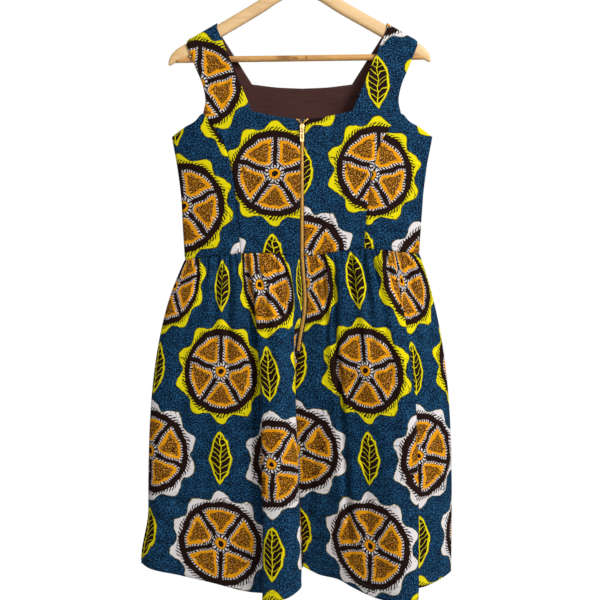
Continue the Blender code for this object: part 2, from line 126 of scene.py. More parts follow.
# Relief of the cloth
# height and size of the slow swells on the bodice and the skirt
BODICE_SWELLS = (0.7, 34)
SKIRT_SWELLS = (1.2, 46)
# depth and reach of the dip at a seam, and height, distance and reach of the ridge beside it
SEAM_DIP = (0.75, 2.4)
SEAM_RIDGE = (0.25, 5, 3)
WAIST_SEAM_DIP = (0.8, 2.2)
# lengths over which the relief grows from nothing: below a strap's roll, at a side seam and beside the zip
STRAP_FADE = 40
SIDE_FADE = 12
ZIP_FADE = (8, 12)
# height and pitch of the hem's ripples, and of the puckers along the zip with their reach
HEM_RIPPLE = (0.36, 7)
ZIP_PUCKER = (0.55, 4.6, 16)

# Skirt
SKIRT_TOP = WAIST_DROP + 0.9
SPREAD = 3.5  # how soon the cloth opens out below the waist
SWELL = 0.6  # how soon the folds stand out below the waist
HEM_FLARE = 13.5  # how far the hem's left corner flares out
# drop below the waist, height of the gathers there
GATHERS = ((0, 1.0), (14, 3.0), (45, 3.6), (110, 2.2), (190, 0.8), (260, 0.0))
GATHER_PITCH = 22.5
# shares of the skirt's length where the zip ends and where the seam below it has closed
ZIP_SHARE = 0.3
ZIP_SHUT = 0.33
# from the centre seam to the middle of each front's wall, which meet at an angle
CENTRE_SEAM = {-1: 0.8, 1: 0.4}

# Folds of the skirt, from left to right: x and y at the hem, x at the waist, drop of the hem
FRONT_LEFT_FOLDS = (
    (-273, 0, -205, 953), (-262, -10, -199, 957), (-206, -22, -173, 969), (-147, -38, -140, 979),
    (-90, -50, -110, 988), (-58, -58, -102, 990), (-67, -80, -97, 992), (-44, -96, -77, 988),
    (-19, -94, -50, 980), (-1, -76, -31, 970), (-8, -40, -18, 964), (2, 0, 0, 960),
)
FRONT_RIGHT_FOLDS = (
    (2, 0, 0, 960), (28, -10, 19, 970), (67, -30, 47, 974), (86, -44, 58, 981), (130, -70, 96, 993),
    (170, -89, 129, 993), (199, -80, 150, 989), (192, -54, 156, 983), (212, -42, 164, 982),
    (241, -25, 186, 975), (259, -9, 199, 970), (266, 0, 205, 968),
)
BACK_FOLDS = (
    (-273, 0, -205, 953), (-265, 12, -200, 956), (-230, 42, -178, 966), (-188, 74, -150, 979),
    (-150, 62, -126, 977), (-112, 40, -98, 972), (-70, 60, -68, 978), (-22, 92, -34, 989),
    (22, 84, -2, 987), (54, 50, 24, 976), (92, 42, 52, 972), (138, 66, 86, 978), (184, 86, 118, 985),
    (217, 62, 146, 979), (244, 28, 178, 974), (259, 10, 199, 970), (266, 0, 205, 968),
)

# Stitches
# distances from the hem, the zip and the free edges
HEM_TURN = 16.0
BESIDE_ZIP = 3.2
BESIDE_EDGE = 2.6
# rows of the bodice's grids where the stitches start, on the straps and the zip, and where they end, at the
# corner of the neck and at the armhole's foot on the front and the back
STRAP_ROW = 14
ZIP_ROW = 72
NECK_ROW = 66
ARMHOLE_ROW = {-1: 50, 1: 64}

# Zip
# drop and x of its middle line below the waist
ZIP_LINE = ((WAIST_DROP, 0), (430, 2), (490, 5), (566, -6))
CHAIN_PROUD = 1.8
CHAIN_TOP = 188.0
TOOTH_PROUD = 0.6
# where the teeth part above the slider: start below the neckline, height, spread, and half width at its foot
FORK = (0.8, 7.5, 8.0, 1.8)
TAPE_WIDTH = 14.0
TAPE_BEYOND = 6.0
TWILL = 0.0009  # distance between two ribs of the tape, in metres
SLIDER = (8.6, 13.0, 2.6)  # width, height and thickness
SLIDER_DROP = 186.0
BRIDGE = 1.4
BRIDGE_STAND = 3.2
BRIDGE_SPAN = 9.0
TAB_DROP = 187.0
TAB_LENGTH = 24.0
TAB_WIDTH = 7.0
TAB_THICK = 1.0
TAB_CORNER = 2.2
TAB_BAR = 1.4
TAB_EYE = (4.4, 6.4)
TAB_SLOT = (2.6, 9.0)
TAB_WEB = 2.6

# Hanger, which lies in the straps a little to the left and with its right end up
HANGER_SHIFT = -4.5
HANGER_TILT = 0.0135  # rise for each millimetre to the right
ARM = (13.0, 21.2)  # thickness and height
ARM_SQUARE = 3.2
ARM_MIDDLE = STRAP_TOP + 15.6
# x, drop and relative height along the middle of an arm
ARM_LINE = (
    (0, ARM_MIDDLE - 77, 1.0),
    (30, ARM_MIDDLE - 67.4, 1.0),
    (70, ARM_MIDDLE + SLOPE * (70 - STRAP_INNER), 1.0),
    (STRAP_INNER, ARM_MIDDLE, 1.0),
    (STRAP_OUTER, ARM_MIDDLE + SLOPE * (STRAP_OUTER - STRAP_INNER), 1.0),
    (206, 54.8, 0.96),
    (214.4, 60.6, 0.79),
    (221.4, 68.2, 0.46),
    (224.8, 73.4, 0.17),
)
TIP_FULLNESS = 0.45  # how far the tip keeps its thickness as its height falls
BAR_DIAMETER = 10.5
BAR_DROP = 64.7
HOOK_WIRE = 3.8
HOOK_RADIUS = 21.0

# Creases, listed one by one: x and drop of the two ends, half width, depth (a ridge where negative)
FRONT_CREASES = (
    (-93, 414, -80, 590, 5.4, 9.5), (-80, 560, -75, 760, 6.5, 7.5), (-30, 411, -21, 535, 4, 7),
    (-62, 422, -59, 500, 3.4, 5), (-46, 408, -42, 452, 2.4, 3), (-76, 407, -72, 446, 2.4, 3),
    (-112, 406, -116, 456, 3.2, 4.2), (-136, 407, -144, 492, 3.8, 4.4), (-158, 406, -168, 448, 2.8, 3),
    (-178, 408, -194, 504, 4.8, 4.4), (-50, 410, -46, 470, 4.5, -1.6), (-104, 410, -102, 480, 5, -1.8),
    (-158, 600, -176, 880, 13, 3.2), (-205, 540, -216, 760, 16, 3), (-268, 828, -196, 840, 7, 6),
    (-224, 846, -150, 822, 6, 4), (-266, 862, -206, 856, 8, -3), (-128, 470, -136, 700, 10, 3),
    (31, 668, 4, 930, 8, 3.4), (-30, 600, -24, 780, 11, 2.6), (56, 404, 57, 575, 5, 12),
    (57, 530, 72, 730, 5.6, 12), (70, 690, 86, 950, 7, 8), (69, 430, 71, 570, 7, -2.5),
    (72, 550, 88, 740, 8, -2.5), (30, 406, 31, 450, 3.2, 4.2), (87, 410, 90, 496, 3.6, 5.6),
    (71, 410, 72, 456, 4.5, -1.8), (106, 407, 108, 444, 2.4, 3), (122, 407, 132, 474, 3.6, 4.2),
    (148, 406, 154, 458, 3.4, 4.2), (170, 406, 176, 458, 3, 3), (188, 412, 197, 492, 4.6, 4.6),
    (99, 410, 101, 470, 5, -1.8), (146, 500, 168, 860, 13, 4.2), (214, 560, 236, 900, 11, 3.6),
    (104, 700, 118, 950, 10, 3.6),
)
BACK_CREASES = (
    (-176, 407, -188, 470, 3.2, 3.4), (-160, 410, -176, 520, 3.6, 4.6), (-138, 406, -142, 446, 2.6, 3),
    (-118, 408, -124, 478, 3, 4), (-96, 412, -110, 640, 4.5, 4.8), (-70, 406, -72, 452, 2.8, 3.2),
    (-46, 408, -50, 540, 3.2, 5), (-12, 408, -8, 470, 3, 3.6), (10, 406, 12, 440, 2.6, 3),
    (30, 408, 36, 580, 3.8, 5.2), (66, 408, 70, 480, 3, 3.8), (84, 407, 88, 448, 2.6, 3),
    (104, 410, 114, 530, 3.4, 4.4), (142, 408, 158, 486, 3.4, 3.8), (178, 412, 198, 600, 5.5, 4),
    (-226, 600, -240, 860, 12, 2.8), (-60, 660, -66, 900, 9, 2.8), (70, 680, 80, 930, 10, 3),
    (196, 820, 236, 812, 5, 3),
)
BODICE_CREASES = (
    (-196, 205, -150, 232, 9, 1.5), (196, 206, 148, 236, 9, 1.6), (-202, 330, -160, 356, 10, 1.6),
    (202, 322, 158, 352, 10, 1.5), (-196, 384, -120, 372, 7, 1.2), (196, 380, 128, 370, 7, 1.2),
    (-70, 392, -18, 372, 7, 1), (64, 392, 16, 366, 7, 1), (-128, 214, -88, 270, 16, -1.6),
    (128, 214, 88, 270, 16, -1.6), (-150, 70, -120, 130, 8, 1), (176, 60, 150, 120, 8, 1),
)


def linear(red, green, blue):
    """A colour with 0 to 255 for each of its three parts, made linear."""
    shares = [value / 255 for value in (red, green, blue)]
    return tuple(s / 12.92 if s <= 0.04045 else ((s + 0.055) / 1.055) ** 2.4 for s in shares)


def colour_property(name, description, *colour):
    return FloatVectorProperty(
        name=name, description=description, subtype="COLOR", size=3, min=0, max=1, default=linear(*colour),
    )


def place_property(name, description, *place):
    return FloatVectorProperty(name=name, description=description, subtype="TRANSLATION", default=place)


def number_property(name, description, default, least, most, **kind):
    return FloatProperty(name=name, description=description, default=default, min=least, max=most, **kind)


def length_property(name, description, default, least, most):
    return number_property(name, description, default, least, most, unit="LENGTH")


def power_property(name, description, default):
    return number_property(name, description, default, 0, 500, unit="POWER")


# Settings


class ClothSettings(bpy.types.PropertyGroup):
    thickness: length_property(
        "Cloth thickness", "Thickness of the printed cotton", CLOTH * MM, 0.0008, 0.003,
    )
    lining_thickness: length_property(
        "Lining thickness", "Thickness of the back's lining", LINING * MM, 0.0006, 0.003,
    )
    gathers: number_property(
        "Gathers", "Height of the gathers against the solids'", 1, 0, 1.5, subtype="FACTOR",
    )
    creases: number_property(
        "Creases", "Depth of the creases against the tables'", 1, 0, 1.5, subtype="FACTOR",
    )
    weave: length_property("Weave", "Distance between two threads of the weave", 0.0006, 0.0003, 0.002)


class PrintSettings(bpy.types.PropertyGroup):
    column: length_property("Column", "Distance between the columns of wheels", 0.134, 0.11, 0.25)
    repeat: length_property("Repeat", "Distance between two wheels in one column", 0.3, 0.25, 0.5)
    wheel: length_property(
        "Wheel", "Radius of a printed wheel, out to the ends of its lobes", 0.088, 0.03, 0.1,
    )
    ground_dark: colour_property("Dark ground", "Darkest colour of the mottled ground", 0, 10, 24)
    ground_mid: colour_property("Ground", "Main colour of the mottled ground", 10, 42, 68)
    ground_light: colour_property(
        "Light ground", "Colour of the ground's small bright curls", 40, 98, 142,
    )
    yellow: colour_property("Yellow", "Colour of the yellow halos and of the leaves' edges", 222, 208, 6)
    white: colour_property("White", "Colour of the white halos and of the combs", 220, 214, 214)
    orange: colour_property("Orange", "Colour of the wheels' panes", 226, 150, 4)
    brown: colour_property("Brown", "Colour of the rims, spokes and leaves", 30, 14, 8)
    speckle: colour_property("Speckle", "Colour of the fine curls in the panes' hearts", 58, 24, 8)


class LiningSettings(bpy.types.PropertyGroup):
    colour: colour_property("Lining", "Colour of the lining", 66, 36, 32)


class ZipSettings(bpy.types.PropertyGroup):
    pitch: length_property(
        "Tooth pitch", "Distance between two teeth on one side", 0.0024, 0.0018, 0.005,
    )
    tooth_width: length_property(
        "Tooth width", "Length of a tooth across the chain", 0.0037, 0.002, 0.006,
    )
    metal: colour_property("Metal", "Colour of the teeth", 208, 160, 80)
    pull: colour_property("Pull", "Colour of the slider and pull tab", 236, 208, 148)
    tape: colour_property("Tape", "Colour of the woven tape", 30, 34, 48)


class SewingSettings(bpy.types.PropertyGroup):
    pitch: length_property("Stitch pitch", "Distance from one stitch to the next", 0.0032, 0.002, 0.006)
    length: length_property(
        "Stitch length", "Length of the thread seen in one stitch", 0.0024, 0.001, 0.005,
    )
    thread: length_property("Thread", "Thickness of the thread", 0.0005, 0.0002, 0.001)
    seed: IntProperty(
        name="Seed", description="Seed of the stitches' unevenness", default=7, min=0, max=999,
    )
    colour: colour_property("Thread colour", "Colour of the sewing thread", 26, 42, 70)


class HangerSettings(bpy.types.PropertyGroup):
    arms: colour_property("Arms", "Colour of the arms' pale wood", 220, 182, 128)
    bar: colour_property("Bar", "Colour of the bar's wood", 204, 152, 84)
    knots: colour_property("Streaks", "Colour of the wood's dark streaks", 124, 76, 34)
    steel: colour_property("Hook", "Colour of the steel hook", 150, 152, 156)


class StageSettings(bpy.types.PropertyGroup):
    camera_place: place_property("Camera", "Where the camera stands", -0.0035, -1.8, -0.506)
    camera_aim: place_property("Aim", "The point that the camera looks at", -0.0035, 0.0, -0.629)
    lens: number_property("Lens", "Focal length in millimetres on a 36 mm sensor", 61.7, 20, 200)
    floor_drop: length_property("Floor", "Height of the floor against the rail", -1.9, -3.0, -1.2)
    floor_radius: length_property("Floor radius", "Radius of the pale floor", 1.9, 0.5, 2.5)
    key: power_property("Key light", "Power of the soft light at the front right", 150)
    fill: power_property("Fill light", "Power of the weak light at the front", 20)
    back: power_property("Back light", "Power of the soft light behind the dress", 70)
    ambient: number_property("Ambient", "Strength of the even light from all round", 0.19, 0, 3)
    backdrop: number_property("Backdrop", "Brightness of the plain backdrop", 1, 0, 3)


# Curves and surfaces, as in the solids


def smooth(rows, count, measure=2):
    """A table's rows joined by one smooth curve, read at even steps of its length in the first columns."""
    points = np.array(rows, float)
    chord = np.maximum(np.linalg.norm(np.diff(points[:, :measure], axis=0), axis=1), 1.0)[:, None]
    slope = np.diff(points, axis=0) / chord
    inner = (slope[:-1] * chord[1:] + slope[1:] * chord[:-1]) / (chord[:-1] + chord[1:])
    tangent = np.vstack([slope[:1], inner, slope[-1:]])
    fine = [points[:1]]
    t = np.linspace(0, 1, 17)[1:, None]
    for i, length in enumerate(chord):
        start, end = points[i], points[i + 1]
        fine.append(
            start
            + tangent[i] * length * t * (1 - t) ** 2
            - tangent[i + 1] * length * t * t * (1 - t)
            + (end - start) * t * t * (3 - 2 * t)
        )
    fine = np.vstack(fine)
    steps = np.linalg.norm(np.diff(fine[:, :measure], axis=0), axis=1)
    run = np.concatenate([[0], np.cumsum(steps)])
    even = np.linspace(0, run[-1], count)
    return np.stack([np.interp(even, run, values) for values in fine.T], axis=1)


def ease(t):
    """0 to 1 with level ends."""
    t = np.clip(t, 0, 1)
    return t * t * (3 - 2 * t)


def bell(away, reach):
    """1 at nothing, falling softly to 0 past the reach."""
    return np.exp(-((away / reach) ** 2))


BODICE_LINES = smooth(BODICE, 80, measure=1)


def shoulder_drop(x):
    return STRAP_TOP + SLOPE * (np.abs(x) - STRAP_INNER)


def depth(x, drop):
    """How far the bodice's cloth stands from the plane of the side seams."""
    drops, widths, depths = BODICE_LINES.T
    below = drop - shoulder_drop(x)
    half = np.interp(drop, drops, widths)
    lens = SEAM + np.interp(drop, drops, depths) * np.sqrt(np.maximum(1 - (x / half) ** 2, 0))
    roll = np.sqrt(np.maximum(ROLL**2 - (ROLL - np.clip(below, 0, ROLL)) ** 2, 0))
    return roll + (lens - roll) * ease((below - ROLL) / ROLL_BLEND)


def waist_dip(x, drop, side):
    """How far the uneven pull of the gathers lowers the cloth near the waist seam."""
    across, dips = smooth(WAIST_DIPS[side], 80, measure=1).T
    return np.interp(x, across, dips) * bell(drop - WAIST_DROP, DIP_REACH)


def on_bodice(flat, side):
    """Points of (x, drop) on the front, where side is -1, or the back, where it is 1."""
    x, drop = flat[..., 0], flat[..., 1]
    return np.stack([x, side * depth(x, drop), SHOULDER_Z - drop], axis=-1)


def roll_rows(x):
    """(x, drop) down the rolled top of a strap, at angles from the shoulder seam."""
    angles = np.radians(np.linspace(3, 90, 10))
    return [(x, float(shoulder_drop(x)) + ROLL * (1 - math.cos(angle))) for angle in angles]


def join(*runs):
    return np.vstack([np.array(runs[0])[:, :2], *(np.array(run)[1:, :2] for run in runs[1:])])


def between(inner, outer, columns, crowd=1.0):
    """A grid with a straight row from each inner point to its outer one, closer at the outer end."""
    across = (1 - (1 - np.linspace(0, 1, columns)) ** crowd)[None, :, None]
    return inner[:, None] * (1 - across) + outer[:, None] * across


def inner_edge(neck, foot, counts):
    """Down a panel's inner edge: its strap, its neckline and then foot, the points of its centre line."""
    parts = ([(STRAP_INNER, STRAP_TOP + ROLL), neck[0]], [*neck, foot[0]], foot)
    return join(roll_rows(STRAP_INNER), *(smooth(part, count + 1) for part, count in zip(parts, counts)))


def outer_edge(lines, counts):
    """Down a panel's outer edge: its strap, and then lines from the top of the armhole."""
    top = (STRAP_OUTER, float(shoulder_drop(STRAP_OUTER)) + ROLL)
    parts = ([top, *lines[0]], *lines[1:])
    return join(roll_rows(STRAP_OUTER), *(smooth(part, count + 1) for part, count in zip(parts, counts)))


def side_seam():
    """(x, drop) of the side seam, from the armhole to the waist."""
    return [(half, drop) for drop, half, _ in BODICE[3:]]


# Cloth


def normals(points):
    """Unit normals of a grid of points, rows by columns."""
    crossed = np.cross(np.gradient(points, axis=0), np.gradient(points, axis=1))
    return crossed / np.maximum(np.linalg.norm(crossed, axis=-1, keepdims=True), 1e-9)


def faces(points, side):
    """Whether a grid's normals point to the front, where side is -1, or to the back, where it is 1."""
    return (normals(points)[..., 1].mean() > 0) == (side > 0)


def outward(points, side):
    return normals(points) if faces(points, side) else -normals(points)


def edge_distance(points, axis, last):
    """Distance along the grid from each point to its first or last edge."""
    steps = np.linalg.norm(np.diff(points, axis=axis), axis=-1)
    start = np.zeros_like(np.take(steps, [0], axis=axis))
    run = np.concatenate([start, np.cumsum(steps, axis=axis)], axis=axis)
    return np.take(run, [-1], axis=axis) - run if last else run


def crease_depth(x, drop, table):
    """How far the listed creases press the cloth in, with a soft ridge along each side."""
    total = np.zeros_like(x)
    for x1, drop1, x2, drop2, half, deep in table:
        run, fall = x2 - x1, drop2 - drop1
        share = ((x - x1) * run + (drop - drop1) * fall) / (run * run + fall * fall)
        along = np.clip(share, 0, 1)
        away = np.hypot(x - x1 - along * run, drop - drop1 - along * fall)
        taper = ease(along / 0.25) * ease((1 - along) / 0.4)
        total += deep * taper * (bell(away, half) - 0.3 * bell(away, 2.4 * half))
    return total


def unevenness(x, drop, size):
    """Slow swells of the cloth that never repeat, about 1 at most."""
    a, b = x / size, drop / size
    return (
        np.sin(1.3 * a + 0.7 * b + 0.4) * np.cos(0.9 * b - 0.5 * a + 1.1)
        + 0.5 * np.sin(2.9 * a - 1.7 * b + 2.0) * np.cos(2.3 * b + 0.6 * a)
    ) / 1.5


def tuned(thing, **settings):
    for key, value in settings.items():
        setattr(thing, key, value)
    return thing


def placed(name, data, *materials):
    """A new object in the scene, in the named materials."""
    if materials:
        data.materials.clear()
    for material in materials:
        data.materials.append(bpy.data.materials[material])
    obj = bpy.data.objects.new(name, data)
    bpy.context.scene.collection.objects.link(obj)
    return obj


def mesh_of(name, bm, smooth_faces=True):
    """Turns a bmesh into a mesh and frees it."""
    mesh = bpy.data.meshes.new(name)
    for face in bm.faces if smooth_faces else ():
        face.smooth = True
    bm.to_mesh(mesh)
    bm.free()
    return mesh


def cloth(name, patches, thickness, *materials):
    """A thin shell from grids of points, each with its flat cut position, joined along shared edges.

    The cut position, in metres, is kept in the UV map, which the print and the weave follow. The second
    material, where there is one, is that of the shell's inner face.
    """
    bm = bmesh.new()
    cut_layer = bm.loops.layers.uv.new("cut")
    for points, cut in patches:
        rows = [[bm.verts.new(Vector(point) * MM) for point in row] for row in points]
        for i in range(len(rows) - 1):
            for j in range(len(rows[0]) - 1):
                corners = ((i, j), (i + 1, j), (i + 1, j + 1), (i, j + 1))
                face = bm.faces.new([rows[r][c] for r, c in corners])
                for loop, (r, c) in zip(face.loops, corners):
                    loop[cut_layer].uv = cut[r, c]
    bmesh.ops.remove_doubles(bm, verts=bm.verts, dist=0.00002)
    obj = placed(name, mesh_of(name, bm), *materials)
    shell = obj.modifiers.new("cloth", "SOLIDIFY")
    tuned(shell, thickness=thickness, offset=0.0, material_offset=len(materials) - 1)
    return obj


def facing(points, cut, side):
    """The grid turned so that its faces point to the side."""
    return (points, cut) if faces(points, side) else (points[:, ::-1], cut[:, ::-1])


def turned(cut, angle, shift):
    """Cut positions in millimetres turned by degrees, moved, and given in metres."""
    c, s = math.cos(math.radians(angle)), math.sin(math.radians(angle))
    u, v = cut[..., 0], cut[..., 1]
    return np.stack([c * u - s * v + shift[0], s * u + c * v + shift[1]], axis=-1) * MM


def bodice_cut(x, drop):
    """Where a point of the bodice lay in the flat cloth: across, and up."""
    shares = np.linspace(0, 1, 25)
    xs = x[..., None] * shares
    depths = depth(xs, drop[..., None])
    across = np.hypot(np.diff(xs), np.diff(depths)).sum(axis=-1) * np.sign(x)
    below = np.clip(drop - shoulder_drop(x), 0, ROLL)
    rolled = ROLL * np.arccos(1 - below / ROLL) - below
    return np.stack([across, -drop - rolled], axis=-1)


# axis and end of the sewn edges of a panel's grid: inner, outer and bottom
SEWN = ((1, False), (1, True), (0, True))


def bodice_patch(flat, side, mirror, angle=0, shift=(0, 0), inner_sewn=False):
    """Points and cut of one bodice panel, sewn at its bottom and outer edge, and some at the inner edge."""
    points = on_bodice(flat, side)
    points[..., 0] *= mirror
    x, drop = points[..., 0], flat[..., 1]
    out = outward(points, side)
    settings = bpy.context.scene.dress_cloth
    table = BODICE_CREASES if side < 0 else [(-a, b, -c, d, e, f) for a, b, c, d, e, f in BODICE_CREASES]
    swell, size = BODICE_SWELLS
    relief = -settings.creases * crease_depth(x, drop, table) + swell * unevenness(x + 31 * side, drop, size)
    relief *= ease((drop - shoulder_drop(x) - ROLL) / STRAP_FADE)
    for axis, last in SEWN[0 if inner_sewn else 1:]:
        away = edge_distance(points, axis, last)
        relief -= SEAM_DIP[0] * bell(away, SEAM_DIP[1])
        relief += SEAM_RIDGE[0] * bell(away - SEAM_RIDGE[1], SEAM_RIDGE[2])
    # the side seams close, and fine puckers stand above the waist seam
    half = np.interp(drop, BODICE_LINES[:, 0], BODICE_LINES[:, 1])
    beside = np.where(drop > ARMHOLE_END[1] - 1, half - np.abs(x), 9)
    points[..., 1] -= side * BODICE_CLOSED * bell(beside, 3)
    pucker = 0.35 * np.cos(x / 1.9 + 2 * np.sin(x / 23)) + 0.3 * np.cos(x / 4.3 + 1)
    relief += pucker * bell(WAIST_DROP - drop, 9)
    cut = turned(bodice_cut(x, drop), angle, shift)
    points = points + out * relief[..., None]
    points[..., 2] -= waist_dip(x, drop, side)
    return points, cut


def centre_front():
    strap, neck, down = 40, 18, 96
    foot = [(ZIP_EDGE + ZIP_FLARE, FRONT_NECK_DROP), (ZIP_EDGE, FRONT_NECK_DROP + 22), (ZIP_EDGE, WAIST_DROP)]
    inner = inner_edge([FRONT_NECK, FRONT_NECK_MIDDLE], foot, (strap, neck, down))
    return between(inner, outer_edge([ARMHOLE[1:], PRINCESS], (strap, neck + down)), 44)


def side_front():
    armhole, down = 40, 74
    inner = smooth(PRINCESS, armhole + down + 1) + [PANEL_GAP, 0]
    outer = join(smooth(UNDERARM, armhole + 1), smooth(side_seam(), down + 1))
    return between(inner, outer, 34, crowd=1.5)


def back_half():
    counts, armhole = (32, 24, 60), 56
    inner = inner_edge([BACK_NECK, BACK_NECK_MIDDLE], [(0.0, BACK_NECK_DROP), (0.0, WAIST_DROP)], counts)
    outer = outer_edge([[*ARMHOLE[1:], *UNDERARM[1:]], side_seam()], (armhole, sum(counts) - armhole))
    return between(inner, outer, 64, crowd=1.5)


def zip_x(drop):
    """x of the zip's middle line and, below it, of the centre seam."""
    foot = FRONT_LEFT_FOLDS[-1]
    line = smooth([*ZIP_LINE, (foot[3], foot[0])], 60, measure=1)
    return np.interp(drop, line[:, 0], line[:, 1])


def skirt_y(waist_x, hem_y, v, side):
    """Depth of the skirt's cloth at a share v of its length."""
    at_waist = side * depth(waist_x, WAIST_DROP)
    return at_waist + (hem_y + side * SEAM - at_waist) * v**SWELL


def skirt_points(folds, side, columns, rows, zip_side):
    """Points and cut of a skirt panel. zip_side is -1 for a zip on its right, 1 on its left, 0 for none."""
    settings = bpy.context.scene.dress_cloth
    hem_x, hem_y, waist_x, hem_drop = smooth(folds, columns, measure=3).T
    reach = np.concatenate([[0], np.cumsum(np.hypot(np.diff(hem_x), np.diff(hem_y)))])
    from_centre = np.abs(waist_x)
    fade = ease((WAIST_HALF - from_centre) / SIDE_FADE)
    if zip_side:
        fade = fade * ease((from_centre - ZIP_FADE[0]) / ZIP_FADE[1])
    table = FRONT_CREASES if side < 0 else BACK_CREASES
    # the main gathers wander sideways, and come and go around the waist
    wander = 3.0 * np.sin(waist_x / 31 + side) + 1.8 * np.sin(waist_x / 13 + 2 * side)
    strength = 0.55 + 0.45 * np.sin(waist_x / 19 + 0.8 * side) * np.cos(waist_x / 47 + 0.3)
    closed = side * SKIRT_CLOSED * ease((from_centre - WAIST_HALF) / 6 + 1)
    made, cut = [], []
    for v in np.linspace(0, 1, rows) ** 1.3:
        x = waist_x + (hem_x - waist_x) * (1 - (1 - v) ** SPREAD)
        x = x - HEM_FLARE * ease((v - 0.82) / 0.17) * ease((-waist_x - 140) / 60)
        y = skirt_y(waist_x, hem_y, v, side) - closed
        drop = SKIRT_TOP + (hem_drop - SKIRT_TOP) * v - (0.8 if v == 0 else 0)
        if zip_side:
            edge = -1 if zip_side < 0 else 0
            beside = np.interp(v, [ZIP_SHARE, ZIP_SHUT], [ZIP_EDGE, CENTRE_SEAM[zip_side]])
            shift = zip_x(drop[edge]) + zip_side * beside - x[edge]
            x = x + shift * ease(1 - from_centre / 60)
        along = np.stack([np.gradient(x), np.gradient(y)])
        out = side * np.stack([-along[1], along[0]]) / np.linalg.norm(along, axis=0)
        below = drop - WAIST_DROP
        high = np.interp(below, *np.array(GATHERS, float).T) * settings.gathers
        wave = -side * high * strength * np.cos(2 * math.pi * (waist_x + wander) / GATHER_PITCH)
        # two rows of finer gathers close under the seam, and slow ones that run on below them
        fine = 1.9 * bell(below - 6, 16) * np.cos(2 * math.pi * waist_x / 9.1 + 3 * np.sin(waist_x / 29))
        fine = fine + 1.3 * bell(below - 20, 30) * np.cos(waist_x / 2.6 + 4 * np.sin(waist_x / 41))
        slow = 1.8 * ease(below / 40) * ease((330 - below) / 200)
        slow = slow * np.sin(waist_x / 7.4 + 2 * np.sin(waist_x / 53))
        relief = (wave + (fine + slow) * (0.5 + 0.5 * strength)) * fade
        relief -= settings.creases * crease_depth(x, drop, table)
        swell, size = SKIRT_SWELLS
        relief += swell * unevenness(x + 60 * side, drop, size) * ease(below / 80) * fade
        relief -= WAIST_SEAM_DIP[0] * bell(below, WAIST_SEAM_DIP[1])
        ripple, pitch = HEM_RIPPLE
        relief += ripple * np.sin(drop / pitch + 3 * waist_x / WAIST_HALF) * ease((drop - 880) / 60) * fade
        if zip_side:
            height, pitch, reach_out = ZIP_PUCKER
            near = bell(x - zip_x(drop), reach_out) * ease((600 - drop) / 30)
            relief += height * near * np.sin(drop / pitch + zip_side) * ease(below / 20)
        z = SHOULDER_Z - drop - waist_dip(waist_x, drop, side)
        made.append(np.stack([x + out[0] * relief, y + out[1] * relief, z], axis=1))
        up = (SKIRT_TOP - 0.6 * hem_drop - 0.4 * hem_drop.mean()) * v
        cut.append(np.stack([reach - reach[-1] / 2, up], axis=1))
    return np.array(made), np.array(cut)


# Materials


class Field:
    """A value that a material works out at every point. Arithmetic on it adds Math nodes."""

    def __init__(self, tree, socket):
        self.tree, self.socket = tree, socket

    def math(self, operation, *others, clamp=False):
        node = tuned(self.tree.nodes.new("ShaderNodeMath"), operation=operation, use_clamp=clamp)
        for i, value in enumerate((self, *others)):
            if isinstance(value, Field):
                self.tree.links.new(value.socket, node.inputs[i])
            else:
                node.inputs[i].default_value = value
        return Field(self.tree, node.outputs[0])

    def __add__(self, other):
        return self.math("ADD", other)

    def __sub__(self, other):
        return self.math("SUBTRACT", other)

    def __mul__(self, other):
        return self.math("MULTIPLY", other)

    def __truediv__(self, other):
        return self.math("DIVIDE", other)

    def __neg__(self):
        return self.math("MULTIPLY", -1.0)

    def __abs__(self):
        return self.math("ABSOLUTE")

    def nearest(self):
        return self.math("ROUND")

    def fract(self):
        return self.math("FRACT")

    def clamped(self):
        return self.math("ADD", 0.0, clamp=True)

    def stripe(self, half, soft):
        """1 in a stripe round the middle of each whole step."""
        return abs(self.fract() - 0.5).under(half, soft)

    def over(self, edge, soft):
        """1 where the value passes the edge, 0 before it, over a soft width."""
        return ((self - edge) / soft + 0.5).clamped()

    def under(self, edge, soft):
        return (-(self - edge) / soft + 0.5).clamped()

    def choose(self, first, second):
        """first where this is 0, second where it is 1."""
        return first + self * (second - first)

    def ramp(self, low, high):
        """0 at low to 1 at high, held beyond them."""
        return ((self - low) / (high - low)).clamped()


